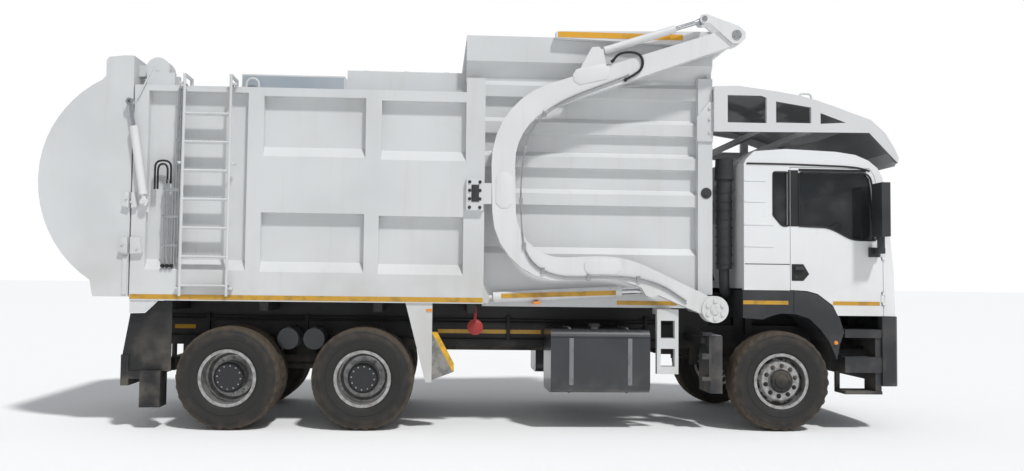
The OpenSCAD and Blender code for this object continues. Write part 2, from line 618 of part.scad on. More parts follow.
// Outline of a tyre as radius and place across
tyre_section = [[bead_r, -112], [lip_r, -116], [325, -134], [380, -tyre_half], [440, -tyre_half],
    [500, -145], [528, -132], [wheel_r, -108], [wheel_r, 108], [528, 132], [500, 145],
    [440, tyre_half], [380, tyre_half], [325, 134], [lip_r, 116], [bead_r, 112]];
module tyre() color("#222222") rotate_extrude($fn = 96) polygon(tyre_section);
module rim_barrel() rotate_extrude($fn = 96)
    polygon([[268, -128], [lip_r, -128], [lip_r, -119], [bead_r, -115], [bead_r, 115], [lip_r, 119],
        [lip_r, 128], [268, 128]]);
module front_rim() color("silver") difference() {
    union() {
        rim_barrel();
        rotate_extrude($fn = 96)
            polygon([[270, -15], [270, 20], [205, 100], [50, 100], [50, 76], [193, 76], [252, -15]]);
        rotate_extrude($fn = 96)
            polygon([[45 + run, -48], [130, -48], [130, 122], [0, 122], [0, 90], [45 + run, 90]]);
        rotate_extrude($fn = 96)
            polygon([[100, -32], [215, -32], [215, -130], [195, -130], [195, -48], [100, -48]]);
    }
    for (a = [0:36:324]) rotate([0, 0, a]) translate([236, 0, -100]) cylinder(h = 300, r = 14);
}
// The twin rims sit about the outer tyre's middle; the other one is a pitch inboard
disc_w = -170;
module rear_rims() color("silver") difference() {
    union() {
        rim_barrel();
        translate([0, 0, -twin_pitch]) rim_barrel();
        rotate_extrude($fn = 96)
            polygon([[100, disc_w - 12], [228, disc_w - 12], [270, disc_w - 60], [270, disc_w - 80],
                [250, disc_w - 80], [222, disc_w - 30], [100, disc_w - 30]]);
        rotate_extrude($fn = 96)
            polygon([[100, disc_w + 12], [228, disc_w + 12], [270, disc_w + 60], [270, disc_w + 80],
                [250, disc_w + 80], [222, disc_w + 30], [100, disc_w + 30]]);
        rotate_extrude($fn = 96)
            polygon([[spindle_r + run, disc_w - 20], [165, disc_w - 20], [165, 20], [140, 45], [0, 45],
                [0, -28], [spindle_r + run, -28]]);
        rotate_extrude($fn = 96)
            polygon([[100, disc_w - 20], [210, disc_w - 20], [210, -430], [190, -430],
                [190, disc_w - 40], [100, disc_w - 40]]);
        translate([0, 0, disc_w - 15]) difference() {
            cylinder(h = 30, r = 210);
            translate([0, 0, -1]) cylinder(h = 32, r = 120);
        }
    }
    for (a = [0:36:324]) rotate([0, 0, a + 18]) translate([190, 0, disc_w + 13]) cylinder(h = 40, r = 20);
}
module front_tyre_right() wheel_at(front_x, -front_tyre_y) tyre();
module front_rim_right() wheel_at(front_x, -front_tyre_y) front_rim();
module front_tyre_left() mirror([0, 1, 0]) front_tyre_right();
module front_rim_left() mirror([0, 1, 0]) front_rim_right();
module twin_tyres(x) wheel_at(x, -rear_tyre_y) {
    tyre();
    translate([0, 0, -twin_pitch]) tyre();
}
module twin_rims(x) wheel_at(x, -rear_tyre_y) rear_rims();

module place() translate([-origin_x, 0, 0]) children();
place() chassis_frame();
place() front_axle();
place() rear_axles();
place() leaf_springs();
place() drive_shafts();
place() engine_block();
place() fuel_tank();
place() left_side_tanks();
place() side_steps();
place() cab_shell();
place() cab_glass();
place() front_panel();
place() bumper();
place() headlamps();
place() front_fenders();
place() cab_steps();
place() seats();
place() dashboard();
place() steering_wheel();
place() cab_guard();
place() body_shell();
place() hopper();
place() side_brackets();
place() ladder();
place() rear_underrun();
place() mudguard_struts();
place() wheel_chock();
place() top_hatch();
place() packer_panel();
place() tailgate();
place() door_right();
place() door_glass_right();
place() mirror_right();
place() door_left();
place() door_glass_left();
place() mirror_left();
place() lift_arms();
place() forks();
place() lift_barrels();
place() lift_rods();
place() fork_barrels();
place() fork_rods();
place() tailgate_barrels();
place() tailgate_rods();
place() knuckle_right();
place() knuckle_left();
place() front_tyre_right();
place() front_rim_right();
place() front_tyre_left();
place() front_rim_left();
place() twin_tyres(0);  // rear_tyres_right
place() twin_rims(0);  // rear_rims_right
place() mirror([0, 1, 0]) twin_tyres(0);  // rear_tyres_left
place() mirror([0, 1, 0]) twin_rims(0);  // rear_rims_left
place() twin_tyres(tandem);  // middle_tyres_right
place() twin_rims(tandem);  // middle_rims_right
place() mirror([0, 1, 0]) twin_tyres(tandem);  // middle_tyres_left
place() mirror([0, 1, 0]) twin_rims(tandem);  // middle_rims_left
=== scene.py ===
# %% [markdown]
# # Dressing a front-loading refuse truck
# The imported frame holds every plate, tube and wheel at its real place and size. This lesson
# adds what a frame leaves out: paint that has weathered, tyre treads, tape, hoses, bolts and
# lamps. Nothing here changes a size, so each new piece is placed from the frame's own nodes.

# %% Load the frame
import json
import math

import bmesh
import bpy
from mathutils import Matrix, Vector


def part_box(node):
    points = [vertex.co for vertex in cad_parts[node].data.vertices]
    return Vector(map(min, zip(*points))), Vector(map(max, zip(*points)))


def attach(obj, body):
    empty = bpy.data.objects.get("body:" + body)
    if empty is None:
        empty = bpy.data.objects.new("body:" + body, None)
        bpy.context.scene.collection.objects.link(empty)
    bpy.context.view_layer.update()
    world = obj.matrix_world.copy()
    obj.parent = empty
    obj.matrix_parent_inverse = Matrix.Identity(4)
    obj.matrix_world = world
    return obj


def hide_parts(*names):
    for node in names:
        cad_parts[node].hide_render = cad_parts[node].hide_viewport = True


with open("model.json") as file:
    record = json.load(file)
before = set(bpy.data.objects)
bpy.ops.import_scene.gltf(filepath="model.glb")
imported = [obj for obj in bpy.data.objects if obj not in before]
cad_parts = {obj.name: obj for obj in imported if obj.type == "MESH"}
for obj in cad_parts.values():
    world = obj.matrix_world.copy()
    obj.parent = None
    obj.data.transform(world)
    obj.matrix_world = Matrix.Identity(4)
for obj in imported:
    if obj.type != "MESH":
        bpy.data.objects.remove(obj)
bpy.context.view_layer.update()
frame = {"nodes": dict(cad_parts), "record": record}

# %% [markdown]
# ## Where things are
# A truck builder measures along the chassis from an axle. The rearmost axle is the datum for
# the body and the front axle for the cab, and both are read from the tyres' boxes.

# %% Datums
def middle(node):
    low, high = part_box(node)
    return (low + high) / 2


REAR_AXLE = middle("rear_tyres_right").x
SECOND_AXLE = middle("middle_tyres_right").x
FRONT_AXLE = middle("front_tyre_right").x
WHEEL_R = middle("front_tyre_right").z
BODY_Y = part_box("body_shell")[1].y
CAB_Y = 1.12
CAB = FRONT_AXLE - REAR_AXLE
SIDES = {"right": -1, "left": 1}
print("axles at", round(REAR_AXLE, 3), round(SECOND_AXLE, 3), round(FRONT_AXLE, 3))

# %% [markdown]
# ## The camera
# The truck is seen from its right side, from eye height and a little to the rear of the
# middle, with a moderately wide lens. The camera comes first so that every later step can be
# judged through it. Its axes are built as a matrix: forward, then right, then up, with a
# slight roll.

# %% Camera
def look(place, yaw, pitch, roll):
    forward = Vector((math.sin(yaw) * math.cos(pitch), math.cos(yaw) * math.cos(pitch),
                      math.sin(pitch)))
    right = Vector((math.cos(yaw), -math.sin(yaw), 0))
    above = right.cross(forward)
    axes = Matrix((right * math.cos(roll) + above * math.sin(roll),
                   above * math.cos(roll) - right * math.sin(roll), -forward)).transposed()
    return Matrix.Translation(place) @ axes.to_4x4()


camera = bpy.data.objects.new("camera", bpy.data.cameras.new("camera"))
bpy.context.scene.collection.objects.link(camera)
camera.matrix_world = look(Vector((REAR_AXLE + 2.127, -10.109, 1.581)), math.radians(2.86),
                           math.radians(2.44), math.radians(0.7))
camera.data.sensor_width = 36
camera.data.lens = 29.5
camera.data.shift_x = 0.0357
camera.data.shift_y = 0.0095
bpy.context.scene.camera = camera
print("camera", [round(v, 3) for v in camera.matrix_world.translation])

# %% [markdown]
# ## Light and floor
# White machines need a light that leaves shadows under their ledges, or the ribs vanish. One
# high lamp with a soft edge makes those shadows, and an even pale sky fills them. The floor
# is a plain pale sheet, large enough that its far edge melts into the sky.

# %% Light
key = bpy.data.objects.new("key", bpy.data.lights.new("key", "SUN"))
key.data.energy = 2.3
key.data.angle = math.radians(5)
key.rotation_mode = "QUATERNION"
key.rotation_quaternion = Vector((-0.3, 0.5, -0.86)).to_track_quat("-Z", "Y")
bpy.context.scene.collection.objects.link(key)
sky = bpy.data.worlds.new("sky")
bpy.context.scene.world = sky
sky.use_nodes = True
tree = sky.node_tree
shown = tree.nodes["Background"]
shown.inputs["Color"].default_value = (1, 1, 1, 1)
shown.inputs["Strength"].default_value = 1.0
filling = tree.nodes.new("ShaderNodeBackground")
filling.inputs["Color"].default_value = (0.93, 0.96, 1, 1)
filling.inputs["Strength"].default_value = 0.42
which = tree.nodes.new("ShaderNodeLightPath")
both = tree.nodes.new("ShaderNodeMixShader")
tree.links.new(which.outputs["Is Camera Ray"], both.inputs[0])
tree.links.new(filling.outputs[0], both.inputs[1])
tree.links.new(shown.outputs[0], both.inputs[2])
tree.links.new(both.outputs[0], tree.nodes["World Output"].inputs["Surface"])
bpy.context.scene.view_settings.view_transform = "Standard"
print("one soft key and an even fill")

# %% [markdown]
# ## Shader sums
# A finish is easier to read as arithmetic than as boxes and wires. `Amount` wraps one socket
# and lets it take part in sums, so `0.3 + dust * 0.2` adds its own Math nodes. `Finish` holds
# a material. Its `node` adds any node, and the other methods are the few that recur.

# %% Amount and Finish
class Amount:
    def __init__(self, finish, socket):
        self.finish = finish
        self.socket = socket

    def sum(self, operation, first, second):
        return self.finish.node("ShaderNodeMath", {"operation": operation}, {0: first, 1: second})

    def __add__(self, other):
        return self.sum("ADD", self, other)

    def __radd__(self, other):
        return self.sum("ADD", other, self)

    def __sub__(self, other):
        return self.sum("SUBTRACT", self, other)

    def __rsub__(self, other):
        return self.sum("SUBTRACT", other, self)

    def __mul__(self, other):
        return self.sum("MULTIPLY", self, other)

    def __pow__(self, other):
        return self.sum("POWER", self, other)


class Finish:
    def __init__(self, name, roughness=0.5, metallic=0.0, coat=0.0):
        self.material = bpy.data.materials.new(name)
        self.material.use_nodes = True
        self.tree = self.material.node_tree
        self.shader = self.tree.nodes["Principled BSDF"]
        self.shader.inputs["Roughness"].default_value = roughness
        self.shader.inputs["Metallic"].default_value = metallic
        self.shader.inputs["Coat Weight"].default_value = coat
        self.here = self.node("ShaderNodeTexCoord", out="Object")

    def node(self, kind, settings=None, inputs=None, out=0):
        made = self.tree.nodes.new(kind)
        for name, value in (settings or {}).items():
            setattr(made, name, value)
        for name, value in (inputs or {}).items():
            if isinstance(value, Amount):
                self.tree.links.new(value.socket, made.inputs[name])
            else:
                made.inputs[name].default_value = value
        return Amount(self, made.outputs[out])

    def feed(self, name, value):
        self.tree.links.new(value.socket, self.shader.inputs[name])

    def stretched(self, scale):
        return self.node("ShaderNodeMapping", None, {"Vector": self.here, "Scale": scale})

    def noise(self, size, detail=3, where=None):
        return self.node("ShaderNodeTexNoise", None,
                         {"Vector": where or self.here, "Scale": 1 / size, "Detail": detail})

    def rise(self, value, low, high):
        return self.node("ShaderNodeMapRange", {"interpolation_type": "SMOOTHSTEP"},
                         {"Value": value, "From Min": low, "From Max": high})

    def runs(self):
        return self.rise(self.noise(1.0, 4, self.stretched((9, 9, 0.7))), 0.52, 0.8)

    def axes(self, where=None):
        parts = self.node("ShaderNodeSeparateXYZ", None, {"Vector": where or self.here}).socket.node
        return [Amount(self, parts.outputs[i]) for i in range(3)]

    def mix(self, amount, first, second):
        first, second = (c if isinstance(c, Amount) else (*c, 1) for c in (first, second))
        return self.node("ShaderNodeMix", {"data_type": "RGBA"}, {0: amount, 6: first, 7: second},
                         out=2)

    def bump(self, height, distance, strength):
        self.feed("Normal", self.node("ShaderNodeBump", None,
                                      {"Strength": strength, "Distance": distance,
                                       "Height": height}))


print("shader sums ready")

# %% [markdown]
# ## Paint that has been on the road
# Body panels are sprayed steel: flat light grey-white, very slightly wavy because thin sheet
# is welded to posts, with rain streaks and road dust that thickens towards the bottom. The
# cab is the same idea with a whiter, glossier coat. One maker serves both.

# %% Sprayed steel
DUST = (0.42, 0.37, 0.30)


def sprayed(name, colour, dull, roughness, coat, dust, streaks=0.12, wavy=0.006):
    finish = Finish(name, roughness, 0, coat)
    z = finish.axes()[2]
    clouds = finish.noise(0.9, 4)
    grime = finish.runs() * streaks
    low = finish.rise(z, 2.1, 1.1) * finish.rise(clouds, 0.3, 0.75) * dust
    base = finish.mix(finish.rise(clouds, 0.35, 0.7), colour, dull)
    finish.feed("Base Color", finish.mix(grime + low, base, DUST))
    finish.feed("Roughness", roughness + clouds * 0.12 + low * 0.5)
    sheet = finish.noise(0.55, 2)
    peel = finish.noise(0.004, 1)
    finish.bump(sheet * wavy + peel * 0.00012, 1.0, 0.6)
    return finish.material


body_white = sprayed("body_white", (0.66, 0.67, 0.675), (0.60, 0.61, 0.615), 0.36, 0.15, 0.5)
cab_white = sprayed("cab_white", (0.83, 0.84, 0.845), (0.79, 0.80, 0.805), 0.22, 0.6, 0.35, 0.05,
                    0.002)
arm_white = sprayed("arm_white", (0.74, 0.745, 0.75), (0.69, 0.695, 0.70), 0.32, 0.2, 0.3, 0.16)


# The cab guard's faces that point down get a dark grey: painted shade under the guard.
def guard_finish():
    finish = Finish("guard_white", 0.36, 0, 0.15)
    facing = finish.node("ShaderNodeNewGeometry", None, None, out="Normal")
    z = finish.axes(facing)[2]
    downward_shade = finish.rise(z, -0.15, -0.6)
    clouds = finish.noise(0.6, 4)
    top = finish.mix(clouds, (0.70, 0.705, 0.71), (0.63, 0.635, 0.64))
    painted_shade = finish.mix(clouds, (0.10, 0.10, 0.105), (0.17, 0.17, 0.17))
    finish.feed("Base Color", finish.mix(downward_shade, top, painted_shade))
    finish.feed("Roughness", 0.36 + downward_shade * 0.3)
    finish.bump(finish.noise(0.5, 2), 0.006, 0.5)
    return finish.material


guard_white = guard_finish()
# The guard's dark underside is painted shade.
print("three sprayed whites and the cab guard's, which is shade_painted underneath")

# %% [markdown]
# ## Steel that meets refuse
# Inside the hopper the paint is gone from the floor up: scraped bright in bands and brown
# where it rusts. The hopper's outside keeps its paint, so one material holds both and a mask
# made from the distance to the centre plane chooses between them.

# %% Hopper and packer
def scraped_colour(finish):
    scrape = finish.noise(0.5, 5, finish.stretched((0.6, 5, 5)))
    rust = finish.rise(finish.noise(0.25, 6), 0.5, 0.7)
    steel = finish.mix(finish.rise(scrape, 0.4, 0.65), (0.21, 0.2, 0.19), (0.42, 0.41, 0.39))
    return finish.mix(rust * 0.7, steel, (0.20, 0.11, 0.06))


def hopper_finish():
    finish = Finish("hopper_steel", 0.4, 0, 0.1)
    x, y, z = finish.axes()
    clouds = finish.noise(0.9, 4)
    outside = finish.mix(finish.rise(clouds, 0.35, 0.7), (0.66, 0.67, 0.675), (0.60, 0.61, 0.615))
    outside = finish.mix(finish.runs() * 0.14, outside, DUST)
    depth = finish.node("ShaderNodeMath", {"operation": "ABSOLUTE"}, {0: y})
    inside = finish.rise(depth, 0.9, 0.885) * finish.rise(z, 4.25, 3.6)
    inside = inside * finish.rise(x, middle("hopper").x + 1.33, middle("hopper").x + 1.31)
    finish.feed("Base Color", finish.mix(inside, outside, scraped_colour(finish)))
    finish.feed("Roughness", 0.36 + clouds * 0.12 + inside * 0.2)
    finish.bump(finish.noise(0.55, 2) * 0.006 + finish.noise(0.01, 3) * inside * 0.002, 1.0, 0.6)
    return finish.material


def packer_finish():
    finish = Finish("packer_steel", 0.5, 0.3)
    finish.feed("Base Color", scraped_colour(finish))
    finish.bump(finish.noise(0.02, 5), 0.004, 0.5)
    return finish.material


hopper_steel = hopper_finish()
packer_steel = packer_finish()

# %% [markdown]
# ## Dark finishes
# The chassis, axles, tanks and moulded plastics are all dark, and only their surfaces tell
# them apart: satin paint with dust, rough casting, smooth tank enamel, and grained plastic
# that sunlight has greyed on top.

# %% Dark finishes
def dark(name, colour, dusty, roughness, grain, depth, dust_low=1.3, dust_high=0.4, coat=0.0):
    finish = Finish(name, roughness, 0, coat)
    z = finish.axes()[2]
    patches = finish.noise(0.35, 5)
    settled = finish.rise(z, dust_low, dust_high) * finish.rise(patches, 0.4, 0.75)
    worn = finish.mix(finish.rise(patches, 0.35, 0.7) * 0.6, colour, dusty)
    finish.feed("Base Color", finish.mix(settled * 0.35, worn, DUST))
    finish.feed("Roughness", roughness + settled * 0.3 + patches * 0.08)
    finish.bump(finish.noise(grain, 2), depth, 0.5)
    return finish.material


chassis_black = dark("chassis_black", (0.012, 0.012, 0.013), (0.03, 0.029, 0.028), 0.5, 0.02, 0.001)
cast_iron = dark("cast_iron", (0.02, 0.019, 0.018), (0.05, 0.045, 0.04), 0.7, 0.008, 0.002)
tank_black = dark("tank_black", (0.022, 0.024, 0.028), (0.035, 0.037, 0.042), 0.3, 0.3, 0.002,
                  0.7, 0.3, 0.4)
grey_plastic = dark("grey_plastic", (0.026, 0.027, 0.030), (0.052, 0.053, 0.056), 0.5, 0.0015, 0.0006)
cab_trim = dark("cab_trim", (0.03, 0.03, 0.032), (0.045, 0.045, 0.046), 0.65, 0.002, 0.0005, 0.2, 0)
rubber_black = dark("rubber_black", (0.008, 0.008, 0.008), (0.02, 0.02, 0.02), 0.55, 0.01, 0.0004,
                    0.2, 0)
print("six dark finishes")

# %% [markdown]
# ## Glass, lamps, tape and bright metal
# The glazing is tinted and slightly dusty, and the truck has gold reflective tape made of
# small cells, amber and red lamps with moulded ribs, polished piston rods with fine rings,
# and a wheel chock of grey plastic with yellow edges.

# %% Small finishes
def glazing():
    finish = Finish("tinted_glass", 0.06, 0, 0.6)
    film = finish.rise(finish.noise(0.3, 5), 0.45, 0.8)
    finish.feed("Base Color", finish.mix(film, (0.012, 0.015, 0.017), (0.05, 0.053, 0.055)))
    finish.feed("Alpha", 0.72 + film * 0.12)
    finish.feed("Roughness", 0.05 + film * 0.15)
    return finish.material


def taped(name, bright, deep):
    finish = Finish(name, 0.35, 0.1, 0.3)
    cells = finish.node("ShaderNodeTexVoronoi", None, {"Vector": finish.here, "Scale": 90.0})
    worn = finish.rise(finish.noise(0.12, 5), 0.45, 0.7)
    colour = finish.mix(worn * 0.7 + cells * 0.2, bright, deep)
    finish.feed("Base Color", colour)
    finish.feed("Roughness", 0.3 + worn * 0.3)
    finish.bump(cells, 0.0004, 0.5)
    return finish.material


def lens(name, colour, glow):
    finish = Finish(name, 0.12, 0, 0.8)
    ribs = finish.node("ShaderNodeTexWave", {"bands_direction": "Z"},
                       {"Vector": finish.here, "Scale": 30.0, "Distortion": 0.2})
    finish.feed("Base Color", finish.mix(ribs * 0.5, colour, glow))
    finish.bump(ribs, 0.001, 0.5)
    return finish.material


def metal(name, colour, other, roughness, metallic, grain):
    finish = Finish(name, roughness, metallic)
    turned = finish.noise(grain, 3)
    stain = finish.rise(finish.noise(0.09, 4), 0.5, 0.75)
    finish.feed("Base Color", finish.mix(stain * 0.6, colour, other))
    finish.feed("Roughness", roughness + turned * 0.1 + stain * 0.15)
    finish.bump(turned, 0.0003, 0.4)
    return finish.material


def chock_finish():
    finish = Finish("chock_paint", 0.5)
    x, _, z = finish.axes()
    slope = finish.rise(z + (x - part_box("wheel_chock")[0].x) * 1.833, 1.02, 1.035)
    worn = finish.rise(finish.noise(0.08, 5), 0.4, 0.6)
    grey = finish.mix(worn, (0.16, 0.16, 0.15), (0.27, 0.26, 0.24))
    gold = finish.mix(worn, (0.75, 0.42, 0.02), (0.5, 0.3, 0.04))
    finish.feed("Base Color", finish.mix(slope, grey, gold))
    finish.bump(finish.noise(0.02, 3), 0.002, 0.5)
    return finish.material


def cloth():
    finish = Finish("seat_cloth", 0.9)
    weave = finish.node("ShaderNodeTexWave", {"bands_direction": "DIAGONAL"},
                        {"Vector": finish.here, "Scale": 160.0, "Distortion": 0.5})
    finish.feed("Base Color", finish.mix(weave, (0.03, 0.03, 0.035), (0.07, 0.07, 0.08)))
    finish.bump(weave, 0.0008, 0.6)
    return finish.material


glass = glazing()
gold_tape = taped("gold_tape", (0.60, 0.33, 0.025), (0.33, 0.19, 0.03))
clear_lens = lens("clear_lens", (0.55, 0.57, 0.58), (0.8, 0.82, 0.83))
amber_lens = lens("amber_lens", (0.75, 0.22, 0.01), (0.85, 0.4, 0.05))
red_lens = lens("red_lens", (0.45, 0.012, 0.01), (0.6, 0.06, 0.04))
chrome = metal("rod_chrome", (0.62, 0.63, 0.65), (0.4, 0.4, 0.41), 0.12, 1.0, 0.004)
zinc = metal("zinc", (0.40, 0.41, 0.42), (0.24, 0.23, 0.22), 0.35, 0.7, 0.006)
strap_steel = metal("strap_steel", (0.22, 0.23, 0.24), (0.12, 0.12, 0.12), 0.4, 0.4, 0.01)
yellow_paint = metal("yellow_paint", (0.72, 0.36, 0.02), (0.5, 0.3, 0.06), 0.5, 0.0, 0.02)
red_paint = metal("red_paint", (0.33, 0.03, 0.025), (0.18, 0.03, 0.03), 0.5, 0.0, 0.02)
chock_paint = chock_finish()
seat_cloth = cloth()
print("small finishes ready")

# %% [markdown]
# ## Wheels' finishes
# Rubber is never black on a working truck: the tread is brown with soil, the sidewall is
# dark with a dusty band, and moulded rings catch the light. Rims are silver paint with dust,
# and near black inside a hub radius: painted shade of the recessed centre. Both follow the
# distance from the wheel's centre, so a Mapping node brings each axle to the origin first.

# %% Rubber and rim
def from_hub(finish, axle_x):
    centred = finish.node("ShaderNodeMapping", None,
                          {"Vector": finish.here, "Location": (-axle_x, 0, -WHEEL_R)})
    x, _, z = finish.axes(centred)
    return (x * x + z * z) ** 0.5


def wheel_rubber(name, axle_x):
    finish = Finish(name, 0.8)
    radius = from_hub(finish, axle_x)
    soil = finish.noise(0.12, 6)
    tread = finish.rise(radius, 0.49, 0.53)
    band = finish.rise(radius, 0.40, 0.46) * finish.rise(soil, 0.35, 0.7)
    colour = finish.mix(band * 0.5, (0.018, 0.017, 0.016), (0.07, 0.056, 0.042))
    colour = finish.mix(tread * (0.45 + soil * 0.4), colour, (0.10, 0.075, 0.05))
    finish.feed("Base Color", colour)
    finish.feed("Roughness", 0.62 + soil * 0.2 + tread * 0.1)
    rings = finish.node("ShaderNodeMath", {"operation": "SINE"}, {0: radius * 520.0})
    finish.bump(rings * 0.0006 + finish.noise(0.01, 3) * 0.001, 1.0, 0.6)
    return finish.material


def wheel_silver(name, axle_x, hub_r):
    finish = Finish(name, 0.35, 0.6)
    radius = from_hub(finish, axle_x)
    dust = finish.noise(0.05, 5)
    # Inside hub_r the rim goes near black: painted shade of the recessed centre.
    dark_hub_shade = finish.rise(radius, hub_r + 0.006, hub_r)
    silver = finish.mix(finish.rise(dust, 0.35, 0.75), (0.46, 0.46, 0.46), (0.27, 0.25, 0.23))
    finish.feed("Base Color", finish.mix(dark_hub_shade, silver, (0.035, 0.035, 0.037)))
    finish.feed("Roughness", 0.3 + dust * 0.25 + dark_hub_shade * 0.2)
    finish.feed("Metallic", 0.65 - dark_hub_shade * 0.4)
    finish.bump(dust, 0.0008, 0.4)
    return finish.material


AXLES = {"front": FRONT_AXLE, "middle": SECOND_AXLE, "rear": REAR_AXLE}
rubber = {name: wheel_rubber(name + "_rubber", x) for name, x in AXLES.items()}
silver = {name: wheel_silver(name + "_silver", x, 0.126 if name == "front" else 0.16)
          for name, x in AXLES.items()}
print("rubber and silver for", ", ".join(AXLES))

# %% [markdown]
# ## Finishes on the frame's own nodes
# Every node names a material slot in the record. Most slots take one finish each, and a few
# nodes that look different from their slot are named one by one.

# %% Dress the nodes
BY_SLOT = {"white_paint": body_white, "cab_paint": cab_white, "chassis_paint": chassis_black,
           "axle_iron": cast_iron, "dark_plastic": grey_plastic, "tank_paint": tank_black,
           "glass": glass, "lamp_lens": clear_lens, "cab_trim": cab_trim,
           "seat_cloth": seat_cloth, "rod_chrome": chrome, "chock_paint": chock_paint,
           "inner_steel": packer_steel}
BY_NODE = {"hopper": hopper_steel, "cab_guard": guard_white}
for name in ("lift_arms", "forks", "lift_barrels", "fork_barrels", "tailgate_barrels"):
    BY_NODE[name] = arm_white


def on_axle(name, thing, side):
    return name + "_" + thing + ("_" if name == "front" else "s_") + side


for name in AXLES:
    for side in SIDES:
        BY_NODE[on_axle(name, "tyre", side)] = rubber[name]
        BY_NODE[on_axle(name, "rim", side)] = silver[name]


def paint(holder, material):
    holder.data.materials.clear()
    holder.data.materials.append(material)


for entry in frame["record"]["subparts"]:
    named = entry["node"]
    paint(frame["nodes"][named], BY_NODE.get(named) or BY_SLOT[entry["material_slot"]])
print(len(BY_NODE), "nodes have a finish of their own")

# %% [markdown]
# ## Shop tools
# The trim is made of a few kinds of thing: plates with rounded edges, turned drums, bent
# pipes, cut plates and hexagon bolts. Each is one small function that adds to a bmesh, and
# `fit` turns the bmesh into a finished piece that rides on a body. Most trim is the same on
# both sides, so `fit` can also mirror it across the centre plane.

# %% Shop tools
RIGHT = (0, -1, 0)
SHARP_ANGLE = math.radians(35)


def at(x, y, z):
    return Vector((REAR_AXLE + x, y, z))


def cab(x, y, z):
    return at(CAB + x, y, z)


def verts_of(geometry):
    return [g for g in geometry if isinstance(g, bmesh.types.BMVert)]


def flip(work, verts):
    bmesh.ops.scale(work, vec=(1, -1, 1), verts=verts)


def slab(work, low, high, edge=0.0):
    made = bmesh.ops.create_cube(work, size=1)["verts"]
    low, high = Vector(low), Vector(high)
    bmesh.ops.scale(work, vec=high - low, verts=made)
    bmesh.ops.translate(work, vec=(low + high) / 2, verts=made)
    if edge:
        edges = list({e for v in made for e in v.link_edges})
        bmesh.ops.bevel(work, geom=edges, offset=edge, segments=2, profile=0.5,
                        affect="EDGES", material=-1)


def drum(work, start, end, radius, far=None, sides=24):
    start, end = Vector(start), Vector(end)
    made = bmesh.ops.create_cone(work, cap_ends=True, segments=sides, radius1=radius,
                                 radius2=radius if far is None else far,
                                 depth=(end - start).length)["verts"]
    turn = (end - start).to_track_quat("Z", "Y").to_matrix().to_4x4()
    bmesh.ops.transform(work, matrix=Matrix.Translation((start + end) / 2) @ turn, verts=made)


def cut_plate(work, outline, near, far, edge=0.0):
    corners = [work.verts.new(at(x, near, z)) for x, z in outline]
    face = work.faces.new(corners)
    grown = bmesh.ops.extrude_face_region(work, geom=[face])["geom"]
    moved = verts_of(grown)
    bmesh.ops.translate(work, vec=(0, far - near, 0), verts=moved)
    if edge:
        rim = [e for e in {e for v in moved for e in v.link_edges}
               if all(v in moved for v in e.verts)]
        bmesh.ops.bevel(work, geom=rim, offset=edge, segments=2, profile=0.5, affect="EDGES",
                        material=-1)


def rounded_route(points, bend):
    points = [Vector(p) for p in points]
    route = [points[0]]
    for before, corner, after in zip(points, points[1:], points[2:]):
        into = corner + (before - corner).normalized() * min(bend, (before - corner).length / 2)
        out = corner + (after - corner).normalized() * min(bend, (after - corner).length / 2)
        for step in (0, 0.2, 0.4, 0.6, 0.8, 1):
            route.append(into.lerp(corner, step).lerp(corner.lerp(out, step), step))
    return route + [points[-1]]


def pipe(work, points, radius, bend=0.05):
    curve = bpy.data.curves.new("route", "CURVE")
    curve.dimensions = "3D"
    curve.bevel_depth = radius
    curve.bevel_resolution = 3
    curve.use_fill_caps = True
    route = rounded_route(points, bend)
    line = curve.splines.new("POLY")
    line.points.add(len(route) - 1)
    for point, place in zip(line.points, route):
        point.co = (*place, 1)
    holder = bpy.data.objects.new("route", curve)
    mesh = bpy.data.meshes.new_from_object(holder)
    work.from_mesh(mesh)
    bpy.data.meshes.remove(mesh)
    bpy.data.objects.remove(holder)
    bpy.data.curves.remove(curve)


def bolt(work, place, toward, radius):
    place, toward = Vector(place), Vector(toward).normalized()
    drum(work, place - toward * radius * 0.2, place + toward * radius * 0.3, radius * 1.35)
    drum(work, place, place + toward * radius * 1.1, radius, radius * 0.93, 6)


def fit(name, work, body, material, mirrored=False):
    if mirrored:
        twin = bmesh.ops.duplicate(work, geom=work.verts[:] + work.edges[:] + work.faces[:])
        flip(work, verts_of(twin["geom"]))
    bmesh.ops.remove_doubles(work, verts=work.verts, dist=0.00001)
    bmesh.ops.recalc_face_normals(work, faces=work.faces)
    mesh = bpy.data.meshes.new(name)
    work.to_mesh(mesh)
    work.free()
    mesh.shade_smooth()
    mesh.set_sharp_from_angle(angle=SHARP_ANGLE)
    made = bpy.data.objects.new(name, mesh)
    bpy.context.scene.collection.objects.link(made)
    made.data.materials.append(material)
    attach(made, body)
    return made


print("shop tools ready")

# %% [markdown]
# ## Tyres
# A truck tyre is a lathe shape with a ribbed tread. The section is drawn once as a chain of
# points (distance across, radius), spun round the axle, and then two steps in every four are
# pushed in along the shoulders to cut the lugs. Spinning is the right operator because the
# real mould is turned too. A twin wheel is the same tyre set down twice.

# %% Tyre mesh
TYRE_HALF = (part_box("front_tyre_right")[1].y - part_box("front_tyre_right")[0].y) / 2
HALF_SECTION = [(0.112, 0.291), (0.118, 0.300), (0.134, 0.318), (0.137, 0.326), (0.142, 0.345),
                (0.149, 0.380), (0.1495, 0.384), (0.1455, 0.388), (0.1495, 0.400), (0.15, 0.44),
                (0.148, 0.470), (0.143, 0.478), (0.144, 0.496), (0.137, 0.513), (0.131, 0.526),
                (0.110, 0.5345), (0.082, 0.5365), (0.080, 0.524), (0.070, 0.524), (0.068, 0.5375),
                (0.034, 0.538), (0.032, 0.525), (0.023, 0.525), (0.021, 0.538)]
TREAD_STEPS = 120
LUG_DEPTH = 0.014


def outer_face(node, sign):
    low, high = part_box(node)
    return high.y if sign > 0 else low.y


